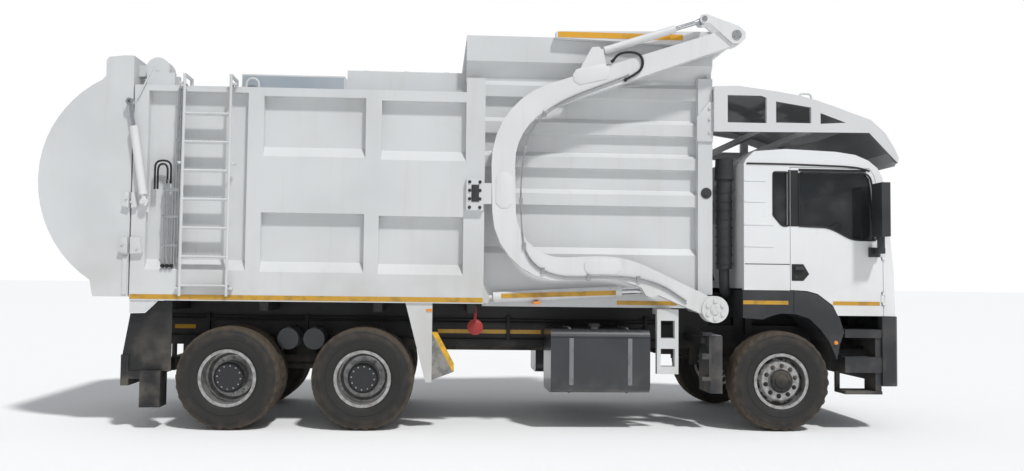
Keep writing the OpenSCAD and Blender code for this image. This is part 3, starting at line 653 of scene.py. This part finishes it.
def tyres(work, centres):
    section = HALF_SECTION + [(-y, r) for y, r in reversed(HALF_SECTION)]
    chain = [work.verts.new((0, y * TYRE_HALF / 0.15, r * WHEEL_R / 0.538)) for y, r in section]
    line = [work.edges.new(pair) for pair in zip(chain, chain[1:] + chain[:1])]
    bmesh.ops.spin(work, geom=chain + line, cent=(0, 0, 0), axis=(0, 1, 0), dvec=(0, 0, 0),
                   angle=math.tau, steps=TREAD_STEPS, use_merge=True, use_duplicate=False)
    for vert in work.verts:
        turn = math.atan2(vert.co.x, vert.co.z) / math.tau * TREAD_STEPS
        reach = math.hypot(vert.co.x, vert.co.z)
        across = abs(vert.co.y)
        if round(turn) % 4 in (0, 1) and across > 0.104 and reach > 0.51:
            vert.co.x *= 1 - LUG_DEPTH / reach
            vert.co.z *= 1 - LUG_DEPTH / reach
        elif 0.06 < across < 0.1 and round(turn) % 2 == 0 and reach > 0.53:
            vert.co.y += math.copysign(0.004, vert.co.y)
    first = work.verts[:] + work.edges[:] + work.faces[:]
    for centre in centres[1:]:
        twin = bmesh.ops.duplicate(work, geom=first)["geom"]
        bmesh.ops.translate(work, vec=centre, verts=verts_of(twin))
    bmesh.ops.translate(work, vec=centres[0], verts=verts_of(first))


for name, axle_x in AXLES.items():
    for side, sign in SIDES.items():
        node = on_axle(name, "tyre", side)
        centres = [(axle_x, outer_face(node, sign) - sign * TYRE_HALF, WHEEL_R)]
        if name != "front":
            centres.append((axle_x, outer_face(node, -sign) + sign * TYRE_HALF, WHEEL_R))
        work = bmesh.new()
        tyres(work, centres)
        body = on_axle(name, "wheel", side)
        made = fit(node + "_moulded", work, body, rubber[name])
        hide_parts(node)
print("ten tyres,", len(made.data.polygons), "faces in the last pair")

# %% [markdown]
# ## Wheel furniture
# The front rim carries ten nuts on a ring, a dark hub with its own small bolts, and long hand
# holes, drawn as dark pads that stand in for the shade inside the openings. The rear rim's
# middle is deep inside the outer tyre, with its nuts round the hub and a half shaft flange
# with bolts. The pieces are placed round the axle by turning one sample.

# %% Wheel furniture
def around(count, radius, phase=0.0):
    for i in range(count):
        turn = math.tau * i / count + phase
        yield radius * math.sin(turn), radius * math.cos(turn)


for side, sign in SIDES.items():
    tyre_face = outer_face("front_tyre_" + side, sign)
    middle_y = tyre_face - sign * TYRE_HALF
    face_y = middle_y + sign * 0.1
    work = bmesh.new()
    for dx, dz in around(10, 0.165, 0.1):
        spot = Vector((FRONT_AXLE + dx, face_y, WHEEL_R + dz))
        bolt(work, spot, (0, sign, 0), 0.018)
        drum(work, spot, spot + Vector((0, sign * 0.034, 0)), 0.011, 0.008, 12)
    fit("front_nuts_" + side, work, "front_wheel_" + side, cast_iron)
    work = bmesh.new()
    hub_face = middle_y + sign * 0.122
    hub_centre = Vector((FRONT_AXLE, hub_face - sign * 0.006, WHEEL_R))
    drum(work, hub_centre, hub_centre + Vector((0, sign * 0.016, 0)), 0.116, 0.108, 40)
    drum(work, hub_centre, hub_centre + Vector((0, sign * 0.026, 0)), 0.078, 0.066, 40)
    for dx, dz in around(8, 0.095):
        bolt(work, hub_centre + Vector((dx, sign * 0.016, dz)), (0, sign, 0), 0.007)
    fit("front_hub_cap_" + side, work, "front_wheel_" + side, cast_iron)
    # The hand holes are dark ellipsoid pads on the rim's face, put in for the shade inside the openings.
    work = bmesh.new()
    for i in range(10):
        turn = math.tau * i / 10 + 0.1
        made = bmesh.ops.create_uvsphere(work, u_segments=16, v_segments=8, radius=1)["verts"]
        bmesh.ops.scale(work, vec=(0.036, 0.020, 0.012), verts=made)
        bmesh.ops.translate(work, vec=(0, middle_y + sign * 0.063, 0.2335), verts=made)
        bmesh.ops.rotate(work, cent=(0, 0, 0), matrix=Matrix.Rotation(turn, 3, "Y"), verts=made)
        bmesh.ops.translate(work, vec=(FRONT_AXLE, 0, WHEEL_R), verts=made)
    fit("front_hand_holes_" + side, work, "front_wheel_" + side, rubber_black)
    for name in ("middle", "rear"):
        axle_x = AXLES[name]
        middle_y = outer_face(name + "_tyres_" + side, sign) - sign * TYRE_HALF
        work = bmesh.new()
        for dx, dz in around(10, 0.188):
            spot = Vector((axle_x + dx, middle_y - sign * 0.159, WHEEL_R + dz))
            bolt(work, spot, (0, sign, 0), 0.017)
            drum(work, spot, spot + Vector((0, sign * 0.045, 0)), 0.01, 0.008, 12)
        for dx, dz in around(12, 0.122, 0.1):
            spot = Vector((axle_x + dx, middle_y + sign * 0.042, WHEEL_R + dz))
            bolt(work, spot, (0, sign, 0), 0.009)
        fit(name + "_nuts_" + side, work, name + "_wheels_" + side, zinc)
print("nuts, hubs and hand holes on six wheels")

# %% [markdown]
# ## Reflective tape
# Law asks for a line of gold reflective tape along the truck's lower edges. Each run is a
# strip two millimetres thick, set against the face that carries it. The strips on the cab's
# doors and on the lift cylinders ride with those parts.

# %% Tape
TAPE_THICK = 0.002
RAIL_Y = -0.4205


def strip(work, start, end, height, y):
    (x0, z0), (x1, z1) = start, end
    run = Vector((x1 - x0, 0, z1 - z0))
    up = Vector((-run.z, 0, run.x)).normalized() * height / 2
    edge = [at(x0, y, z0) - up, at(x1, y, z1) - up, at(x1, y, z1) + up, at(x0, y, z0) + up]
    face = work.faces.new([work.verts.new(p) for p in edge])
    grown = bmesh.ops.extrude_face_region(work, geom=[face])["geom"]
    moved = verts_of(grown)
    bmesh.ops.translate(work, vec=(0, -TAPE_THICK, 0), verts=moved)


work = bmesh.new()
strip(work, (-1.02, 1.378), (2.655, 1.378), 0.05, -BODY_Y)
fit("body_tape", work, "root", gold_tape, mirrored=True)
work = bmesh.new()
strip(work, (CAB - 0.40, 1.385), (CAB + 0.1, 1.385), 0.042, -CAB_Y)
strip(work, (2.19, 1.001), (3.38, 1.001), 0.045, RAIL_Y)
strip(work, (-0.78, 1.03), (-0.55, 1.03), 0.045, RAIL_Y)
strip(work, (4.14, 1.362), (4.81, 1.362), 0.045, -0.99)
fit("chassis_tape", work, "root", gold_tape, mirrored=True)
work = bmesh.new()
strip(work, (2.86, 1.424), (4.10, 1.472), 0.05, -1.1255)
fit("lift_barrel_tape", work, "lift_barrels", gold_tape, mirrored=True)
work = bmesh.new()
strip(work, (3.45, 4.281), (4.83, 4.281), 0.062, -1.1165)
fit("fork_tape", work, "forks", yellow_paint, mirrored=True)
for side, sign in SIDES.items():
    work = bmesh.new()
    strip(work, (CAB + 0.60, 1.385), (CAB + 1.125, 1.385), 0.042, -CAB_Y)
    if sign > 0:
        flip(work, work.verts)
    fit("door_tape_" + side, work, "door_" + side, gold_tape)
print("tape on body, chassis, cab, cylinders and forks")

# %% [markdown]
# ## The cab's skin
# A pressed cab is never smooth: there are short stiffening ribs behind the door, a seam at
# the waist, a drip rail over the door and rubber round the quarter glass. They are thin raised
# pieces here, because the wall they sit on is the frame's and stays as it is.

# %% Cab side
work = bmesh.new()
for x1, z in ((-0.15, 2.72), (-0.15, 2.49), (-0.06, 2.238), (-0.06, 2.0)):
    cut_plate(work, [(CAB - 0.385, z - 0.009), (CAB + x1, z - 0.009), (CAB + x1 - 0.02, z + 0.009),
                     (CAB - 0.385, z + 0.009)], -CAB_Y, -CAB_Y - 0.007, 0.003)
fit("cab_ribs", work, "root", cab_white, mirrored=True)
work = bmesh.new()
pipe(work, [cab(-0.36, -CAB_Y, 2.905), cab(0.1, -CAB_Y, 2.905),
            cab(0.86, -CAB_Y, 2.888), cab(1.02, -CAB_Y, 2.845)], 0.011, 0.2)
strip(work, (CAB - 0.38, 1.804), (CAB + 0.12, 1.804), 0.008, -CAB_Y)
strip(work, (CAB + 0.163, 1.524), (CAB + 0.163, 1.27), 0.008, -CAB_Y)
fit("cab_seams", work, "root", rubber_black, mirrored=True)
work = bmesh.new()
QUARTER = [(-0.066, 2.34), (-0.066, 2.818), (0.106, 2.818), (0.106, 2.222), (0.034, 2.222)]
corners = [cab(x, -CAB_Y - 0.001, z) for x, z in QUARTER]
pipe(work, corners + [corners[0]], 0.008, 0.03)
strip(work, (CAB + 0.112, 2.22), (CAB + 0.112, 2.84), 0.018, -CAB_Y)
fit("quarter_seal", work, "root", rubber_black, mirrored=True)
print("cab ribs, seams and seals")

# %% [markdown]
# ## Door details
# Each door carries a rubber seal round its window, a dark plate for the handle, and a grip and
# a lock on that plate. They ride on the door, so they swing with it.

# %% Door trim
SEAL = [(0.222, 2.224), (0.222, 2.818), (0.985, 2.818), (1.034, 2.764), (1.054, 2.64),
        (1.096, 2.078), (0.87, 2.078), (0.79, 2.096), (0.70, 2.144), (0.61, 2.189), (0.53, 2.214)]
HANDLE = [(0.14, 1.625), (0.27, 1.625), (0.335, 1.70), (0.27, 1.808), (0.14, 1.808)]
for side, sign in SIDES.items():
    sheets = {"seal": bmesh.new(), "handle": bmesh.new(), "lip": bmesh.new()}
    corners = [cab(x, -CAB_Y - 0.001, z) for x, z in SEAL]
    pipe(sheets["seal"], corners + [corners[0]], 0.009, 0.04)
    strip(sheets["seal"], (CAB + 0.172, 2.22), (CAB + 0.172, 2.84), 0.085, -CAB_Y)
    strip(sheets["seal"], (CAB + 0.22, 2.843), (CAB + 0.98, 2.843), 0.03, -CAB_Y)
    cut_plate(sheets["handle"], [(CAB + x, z) for x, z in HANDLE], -CAB_Y, -CAB_Y - 0.003, 0.001)
    slab(sheets["lip"], cab(0.17, -CAB_Y - 0.03, 1.74), cab(0.27, -CAB_Y - 0.003, 1.78), 0.008)
    drum(sheets["lip"], cab(0.19, -CAB_Y, 1.665), cab(0.19, -CAB_Y - 0.008, 1.665), 0.014)
    for part, work in sheets.items():
        if sign > 0:
            flip(work, work.verts)
        fit("door_" + part + "_" + side, work, "door_" + side,
            grey_plastic if part == "lip" else rubber_black)
print("seals and handles on both doors")

# %% [markdown]
# ## The cab's face
# The front shows a panel with slots, a grille behind them, the bumper's own grille, wipers,
# marker lamps and a blank plate. All of it is dark plastic over the frame's panel.

# %% Cab face
work = bmesh.new()
for z in (1.34, 1.44, 1.54, 1.64):
    for i in range(-8, 9):
        slab(work, cab(1.318, i * 0.1 - 0.006, z), cab(1.334, i * 0.1 + 0.006, z + 0.06))
    slab(work, cab(1.316, -0.85, z + 0.026), cab(1.33, 0.85, z + 0.034))
fit("face_grille", work, "root", rubber_black)
work = bmesh.new()
for z in (1.02, 1.09, 1.16):
    slab(work, cab(1.40, -0.62, z), cab(1.4245, 0.62, z + 0.03), 0.004)
for side in (-1, 1):
    for z in (0.86, 0.93, 0.98):
        drum(work, cab(1.36, side * 0.69, z), cab(1.41, side * 0.69, z), 0.02)
slab(work, cab(1.41, -0.26, 0.66), cab(1.4245, 0.26, 0.78), 0.004)
fit("bumper_grille", work, "root", rubber_black)
work = bmesh.new()
for y in (-0.62, 0.1):
    pipe(work, [cab(1.275, y, 1.86), cab(1.262, y + 0.2, 1.95), cab(1.245, y + 0.5, 2.02)],
         0.008, 0.04)
    pipe(work, [cab(1.262, y + 0.14, 1.92), cab(1.238, y + 0.62, 2.20)], 0.006)
for y in (-0.95, 0.95):
    pipe(work, [cab(1.283, y, 1.77), cab(1.252, y, 2.05)], 0.012)
fit("wipers", work, "root", rubber_black)
work = bmesh.new()
drum(work, cab(0.628, -CAB_Y + 0.002, 0.955), cab(0.628, -1.136, 0.955), 0.024, 0.02)
slab(work, at(2.06, -1.203, 1.25), at(2.12, -1.193, 1.28), 0.004)
slab(work, at(3.2, -1.203, 1.34), at(3.27, -0.988, 1.37), 0.004)
fit("side_markers", work, "root", amber_lens, mirrored=True)
print("grilles, wipers and markers")

# %% [markdown]
# ## Steps, tank and chassis dress
# Under the body hang the things a driver uses: step treads, the fuel tank's straps and cap,
# air reservoirs, pipes along the rail, and a red valve on its stem.

# %% Tank and chassis trim
work = bmesh.new()
for x in (3.61, 4.24):
    slab(work, at(x - 0.024, -1.203, 0.49), at(x + 0.024, -1.194, 0.985), 0.002)
    pipe(work, [at(x, -1.19, 0.97), at(x, -1.10, 1.082), at(x, -0.62, 1.082)], 0.014, 0.09)
    pipe(work, [at(x, -1.19, 0.50), at(x, -1.10, 0.395), at(x, -0.62, 0.395)], 0.014, 0.09)
fit("tank_straps", work, "root", strap_steel)
work = bmesh.new()
drum(work, at(3.88, -1.05, 1.105), at(3.88, -1.05, 1.135), 0.06, 0.055, 32)
for dx, dy in around(12, 0.058):
    slab(work, at(3.88 + dx - 0.006, -1.05 + dy - 0.006, 1.108),
         at(3.88 + dx + 0.006, -1.05 + dy + 0.006, 1.13))
fit("tank_cap", work, "root", rubber_black)
work = bmesh.new()
drum(work, at(2.589, -1.02, 1.083), at(2.589, -0.98, 1.083), 0.085, 0.085, 36)
drum(work, at(2.589, -1.035, 1.083), at(2.589, -1.02, 1.083), 0.05, 0.075, 36)
drum(work, at(2.589, -1.0, 1.16), at(2.589, -1.0, 1.30), 0.018, None, 20)
fit("red_valve", work, "root", red_paint)
work = bmesh.new()
for z, r in ((1.12, 0.016), (1.16, 0.012), (0.93, 0.014)):
    pipe(work, [at(-0.9, -0.44, z), at(1.6, -0.44, z), at(2.1, -0.44, z - 0.02),
                at(4.9, -0.44, z - 0.02)], r, 0.1)
for x in (-0.4, 0.7, 2.0, 3.0, 4.6):
    slab(work, at(x - 0.02, -0.465, 0.91), at(x + 0.02, -0.42, 1.19), 0.004)
fit("rail_pipes", work, "root", rubber_black, mirrored=True)
work = bmesh.new()
for x in (0.56, 0.84):
    drum(work, at(x, -0.86, 0.93), at(x, -0.50, 0.93), 0.115, None, 32)
    for y in (-0.78, -0.58):
        drum(work, at(x, y - 0.02, 0.93), at(x, y + 0.02, 0.93), 0.12, None, 32)
    slab(work, at(x - 0.02, -0.80, 1.02), at(x + 0.02, -0.42, 1.06), 0.004)
fit("air_tanks", work, "root", tank_black, mirrored=True)
work = bmesh.new()
for x0, x1, y0, y1, z in ((5.135, 5.255, -1.15, -0.78, 1.0205), (4.575, 4.723, -1.19, -1.135, 0.6905),
                          (4.575, 4.723, -1.19, -1.135, 0.9905)):
    count = int((y1 - y0) / 0.03)
    for i in range(count + 1):
        y = y0 + 0.012 + i * (y1 - y0 - 0.024) / max(count, 1)
        slab(work, at(x0 + 0.006, y - 0.004, z), at(x1 - 0.006, y + 0.004, z + 0.006))
fit("step_grips", work, "root", zinc)
print("tank, valve, pipes and steps")

# %% [markdown]
# ## Behind the cab
# The gap between cab and hopper holds the air intake, hoses to the tilting cab, and dark
# hydraulic pipes. They are seen as a dark tangle, so a duct, a canister and a few bundles of
# pipe are enough.

# %% Intake and bundles
def intake(z):
    return cab(-0.52, -0.86, z)


work = bmesh.new()
drum(work, intake(1.75), intake(2.75), 0.085, None, 32)
drum(work, intake(2.75), intake(2.98), 0.105, 0.095, 32)
for i in range(9):
    z = 1.8 + i * 0.1
    drum(work, intake(z), intake(z + 0.02), 0.092, None, 32)
pipe(work, [intake(1.76), intake(1.5), cab(-0.3, -0.55, 1.46)], 0.06, 0.1)
fit("air_intake", work, "root", grey_plastic)
work = bmesh.new()
for i in range(4):
    y = -0.66 + i * 0.05
    pipe(work, [cab(-0.655, y, 1.5), cab(-0.655, y, 2.1), cab(-0.655, y + 0.3, 2.45)], 0.014, 0.12)
pipe(work, [cab(-0.66, -0.3, 1.6), cab(-0.55, -0.3, 1.9), cab(-0.45, -0.3, 1.62)], 0.018, 0.15)
fit("cab_hoses", work, "root", rubber_black)
work = bmesh.new()
cut_plate(work, [(5.012, 3.15), (5.191, 3.15), (5.191, 3.59), (5.15, 3.59), (5.012, 3.42)], -1.032,
          -1.05, 0.003)
for z in (3.25, 3.40, 3.52):
    bolt(work, at(5.15, -1.05, z), RIGHT, 0.014)
fit("hopper_brackets", work, "root", body_white, mirrored=True)
work = bmesh.new()
drum(work, at(5.12, -1.031, 2.578), at(5.12, -1.038, 2.578), 0.06, None, 32)
drum(work, at(5.12, -1.038, 2.578), at(5.12, -1.046, 2.578), 0.03, None, 24)
fit("round_vent", work, "root", grey_plastic, mirrored=True)
work = bmesh.new()
pipe(work, [cab(0.254, -1.075, 3.62), cab(0.254, -1.075, 3.70), cab(0.389, -1.075, 3.70),
            cab(0.389, -1.075, 3.56)], 0.012, 0.05)
fit("guard_hoops", work, "root", body_white, mirrored=True)
print("intake, hoses, brackets and guard hoops")

# %% [markdown]
# ## Arms
# Where an arm is welded up from plates, an eight-sided doubler covers each joint. The big
# pivot has a cap with six bosses, and thin hydraulic pipes run along the inside of the bend
# with clamps, ending in a rubber loop at the fork cylinder.

# %% Arm trim
ARM_FACE = -1.26
CORNER_CUT = 0.3
FORK_PIN = (5.373, 4.278)


def doubler(work, a, b, half):
    a, b = Vector((a[0], 0, a[1])), Vector((b[0], 0, b[1]))
    run = b - a
    along = run.normalized()
    up = Vector((-along.z, 0, along.x))
    outline = []
    for s, t in ((0, -1), (1, -1), (1, 1), (0, 1)):
        corner = a + run * s + up * half * t
        inward = along * (half * CORNER_CUT * (1 if s == 0 else -1)) * 2
        down = up * half * CORNER_CUT * -t * 2
        pair = [corner + down, corner + inward]
        outline += pair if (s, t) in ((0, -1), (1, 1)) else pair[::-1]
    cut_plate(work, [(p.x, p.z) for p in outline], ARM_FACE, ARM_FACE - 0.007, 0.002)


def by_pivot(y, dx=0.0, dz=0.0):
    return at(5.139 + dx, y, 1.308 + dz)


work = bmesh.new()
doubler(work, (3.60, 3.77), (3.99, 3.86), 0.085)
doubler(work, (2.87, 2.36), (2.87, 2.74), 0.09)
doubler(work, (3.73, 1.75), (4.12, 1.75), 0.085)
fit("arm_doublers", work, "lift_arms", arm_white, mirrored=True)
work = bmesh.new()
for dx, dz in around(6, 0.092):
    drum(work, by_pivot(-1.279, dx, dz), by_pivot(-1.294, dx, dz), 0.026, 0.022)
drum(work, by_pivot(-1.279), by_pivot(-1.292), 0.06, 0.05, 36)
for dx, dz in around(3, 0.03):
    drum(work, by_pivot(-1.291, dx, dz), by_pivot(-1.298, dx, dz), 0.009, None, 12)
for dx, dz in around(6, 0.055):
    bolt(work, at(FORK_PIN[0] + dx, -1.2605, FORK_PIN[1] + dz), RIGHT, 0.005)
fit("arm_caps", work, "lift_arms", arm_white, mirrored=True)
work = bmesh.new()
INSIDE = [(4.83, 1.395), (4.52, 1.60), (4.10, 1.67), (3.45, 1.625), (3.12, 1.80), (3.05, 2.15),
          (3.04, 2.75), (3.13, 3.25), (3.45, 3.52), (4.2, 3.82)]
for shift in (0.0, 0.028):
    pipe(work, [at(x, -1.268, z - shift) for x, z in INSIDE], 0.007, 0.3)
fit("arm_pipes", work, "lift_arms", zinc, mirrored=True)
work = bmesh.new()
for i in range(7):
    x, z = [(a + b) / 2 for a, b in zip(INSIDE[i + 1], INSIDE[i + 2])]
    slab(work, at(x - 0.02, -1.28, z - 0.05), at(x + 0.02, ARM_FACE, z + 0.02), 0.003)
fit("arm_clamps", work, "lift_arms", zinc, mirrored=True)
work = bmesh.new()
pipe(work, [at(4.02, -1.27, 3.96), at(4.10, -1.275, 4.06), at(4.33, -1.275, 4.06), at(4.36, -1.275, 3.88),
            at(4.16, -1.27, 3.76)], 0.014, 0.14)
for x, z in ((4.02, 3.96), (4.16, 3.76)):
    drum(work, at(x - 0.012, -1.27, z - 0.012), at(x + 0.014, -1.27, z + 0.014), 0.018, None, 12)
fit("arm_hose", work, "lift_arms", rubber_black, mirrored=True)
work = bmesh.new()
for x, z, r in ((*FORK_PIN, 0.055), (5.021, 4.448, 0.03)):
    drum(work, at(x, -1.283, z), at(x, -1.296, z), r, r * 0.9, 32)
    for dx, dz in around(3, r * 0.6):
        bolt(work, at(x + dx, -1.296, z + dz), RIGHT, 0.006)
fit("fork_caps", work, "forks", zinc, mirrored=True)
print("doublers, caps, pipes and hoses on the arms")

# %% [markdown]
# ## The body's back corner
# Beside the ladder run steel pipes that feed the tailgate cylinder, with a rubber loop where
# they cross to it. Folded shrouds cover the latches, and the ladder's treads have grips.

# %% Rear pipes and latches
LATCH_FACE = -BODY_Y - 0.045
TREADS = [1.5 + 0.3 * i for i in range(7)]
work = bmesh.new()
for x in (-0.681, -0.648, -0.60):
    pipe(work, [at(x, -1.224, 1.72), at(x, -1.224, 2.60)], 0.012)
pipe(work, [at(-0.573, -1.224, 1.72), at(-0.573, -1.224, 2.50), at(-0.556, -1.224, 3.56)], 0.013, 0.1)
pipe(work, [at(-0.541, -1.224, 1.72), at(-0.541, -1.224, 2.50), at(-0.528, -1.224, 3.56)], 0.011, 0.1)
for z in (1.9, 2.2, 2.48, 3.0, 3.35):
    slab(work, at(-0.70 if z < 2.6 else -0.58, -1.236, z), at(-0.54, -1.2095, z + 0.03), 0.003)
fit("rear_pipes", work, "root", zinc, mirrored=True)
work = bmesh.new()
for a, b, top in ((-0.79, -0.625, 2.80), (-0.76, -0.66, 2.765)):
    pipe(work, [at(a, -1.225, 2.50), at(a, -1.225, top), at(b, -1.225, top), at(b, -1.225, 2.56)], 0.011,
         0.075)
for x in (-0.69, -0.645, -0.60):
    drum(work, at(x, -1.212, 1.70), at(x, -1.24, 1.70), 0.022, 0.018, 20)
fit("rear_hoses", work, "root", rubber_black, mirrored=True)
work = bmesh.new()
for low, top, back in ((1.818, 1.991, -1.141), (2.296, 2.46, -1.115)):
    cut_plate(work, [(back, low + 0.02), (-1.043, low), (-1.043, top), (back + 0.03, top)], -BODY_Y,
              LATCH_FACE, 0.005)
    bolt(work, at(back + 0.05, LATCH_FACE, low + 0.10), RIGHT, 0.013)
cut_plate(work, [(-1.10, 1.40), (-1.05, 1.40), (-1.05, 1.80), (-1.10, 1.80)], -BODY_Y,
          -BODY_Y - 0.012, 0.003)
pipe(work, [at(-0.835, -1.226, 3.79), at(-0.985, -1.226, 3.46)], 0.009)
fit("tail_latch", work, "tailgate", body_white, mirrored=True)
work = bmesh.new()
for low, top, front in ((1.818, 1.991, -0.892), (2.296, 2.46, -0.96)):
    cut_plate(work, [(-1.018, low), (front, low + 0.01), (front - 0.03, top), (-1.018, top)], -BODY_Y,
              LATCH_FACE, 0.005)
    bolt(work, at(front - 0.05, LATCH_FACE, low + 0.06), RIGHT, 0.012)
fit("body_latch", work, "root", body_white, mirrored=True)
work = bmesh.new()
for z in TREADS:
    slab(work, at(-0.482, -1.270, z - 0.016), at(-0.03, -1.214, z + 0.004), 0.003)
for x in (-0.53, 0.018):
    for z in (1.47, 2.78, 3.62):
        slab(work, at(x - 0.022, -1.262, z - 0.012), at(x + 0.022, -1.2095, z + 0.012), 0.003)
fit("ladder_treads", work, "root", body_white)
work = bmesh.new()
for z in TREADS:
    for i in range(14):
        x = -0.47 + i * 0.033
        slab(work, at(x, -1.279, z + 0.009), at(x + 0.012, -1.265, z + 0.0135))
for x in (-0.495, -0.017):
    for z in (1.465, 3.575):
        bolt(work, at(x, -1.2125, z + 0.03), RIGHT, 0.011)
fit("ladder_grips", work, "root", zinc)
work = bmesh.new()
pipe(work, [at(0.08, -1.0, 3.60), at(0.08, -1.0, 3.70), at(0.12, -1.0, 3.74), at(0.18, -1.0, 3.74),
            at(0.215, -1.0, 3.70), at(0.215, -1.0, 3.60)], 0.014, 0.04)
fit("roof_grab", work, "root", body_white, mirrored=True)
print("pipes, latches, grips and a roof grab")

# %% [markdown]
# ## Tail lamps and plate
# The back is finished as such trucks usually are: a lamp cluster on each side of the underrun
# bar, a blank plate, two high lamps on the curved gate, and a bar along the gate's lower edge.

# %% Tail
work = bmesh.new()
for y in (-0.96, -0.84, -0.72):
    slab(work, at(-1.128, y - 0.05, 0.475), at(-1.109, y + 0.05, 0.575), 0.012)
fit("tail_lamps", work, "root", red_lens, mirrored=True)
work = bmesh.new()
slab(work, at(-1.122, -0.66, 0.475), at(-1.109, -0.58, 0.575), 0.012)
fit("tail_indicators", work, "root", amber_lens, mirrored=True)
work = bmesh.new()
slab(work, at(-1.114, -0.26, 0.465), at(-1.1095, 0.26, 0.585), 0.002)
fit("blank_plate", work, "root", body_white)
work = bmesh.new()
for y in (-0.9, 0.9):
    slab(work, at(-1.345, y - 0.06, 3.74), at(-1.324, y + 0.06, 3.80), 0.008)
fit("high_lamps", work, "tailgate", red_lens)
work = bmesh.new()
drum(work, at(-1.08, -0.55, 1.36), at(-1.08, 0.55, 1.36), 0.014, None, 12)
for y in (-0.5, 0.5):
    slab(work, at(-1.11, y - 0.03, 1.345), at(-1.05, y + 0.03, 1.376), 0.004)
fit("gate_bar", work, "tailgate", zinc)
print("lamps, plate and bar at the back")

# %% [markdown]
# ## Top edges
# From above, the sliding hatch has three stiffening ribs and a pull handle. Beside it, an
# upright sheet along the roof's edge and a thin band on the roof carry a blue-grey that is
# painted shade with a painted sky reflection in it.

# %% Roof
# The blue-grey is painted shade with a painted sky reflection in it.
sky_shade_paint = sprayed("sky_shade_paint", (0.33, 0.38, 0.43), (0.42, 0.46, 0.49), 0.6, 0.0, 0.0, 0.3)
work = bmesh.new()
slab(work, at(0.03, -0.951, 3.64), at(1.125, -0.9495, 3.785))
slab(work, at(0.06, -0.9, 3.799), at(1.10, 0.9, 3.8015))
fit("roof_shade_band", work, "root", sky_shade_paint)
work = bmesh.new()
for x in (1.35, 1.8, 2.25):
    slab(work, at(x - 0.03, -0.82, 3.889), at(x + 0.03, 0.82, 3.905), 0.004)
pipe(work, [at(1.20, -0.12, 3.888), at(1.20, -0.12, 3.93), at(1.20, 0.12, 3.93), at(1.20, 0.12, 3.888)],
     0.01, 0.03)
fit("hatch_ribs", work, "top_hatch", body_white)
print("walkway and hatch ribs")

# %% [markdown]
# ## Arm stops
# The rest pads that the arms lean on are dark rubber blocks bolted to the posts.

# %% Stops
work = bmesh.new()
for z in (2.36, 2.45, 2.54, 2.63):
    bolt(work, at(2.50, -1.2625, z), RIGHT, 0.013)
    bolt(work, at(2.61, -1.2625, z), RIGHT, 0.013)
cut_plate(work, [(2.52, 2.42), (2.60, 2.42), (2.60, 2.60), (2.52, 2.60)], -1.262, -1.27, 0.002)
fit("arm_stop_pads", work, "root", grey_plastic, mirrored=True)
print("stop pads on both sides")

# %% [markdown]
# ## Floor
# The floor is pale and rough, with just enough grain to hold the shadow.

# %% Floor and finish
def floor_finish():
    finish = Finish("pale_floor", 0.9)
    grain = finish.noise(0.6, 4)
    finish.feed("Base Color", finish.mix(grain, (0.955, 0.955, 0.95), (0.975, 0.975, 0.975)))
    finish.bump(finish.noise(0.02, 2), 0.0006, 0.3)
    return finish.material


work = bmesh.new()
bmesh.ops.create_circle(work, cap_ends=True, segments=64, radius=300)
bmesh.ops.translate(work, vec=(0, 0, -0.001), verts=work.verts)
mesh = bpy.data.meshes.new("floor")
work.to_mesh(mesh)
work.free()
floor = bpy.data.objects.new("floor", mesh)
floor.data.materials.append(floor_finish())
bpy.context.scene.collection.objects.link(floor)
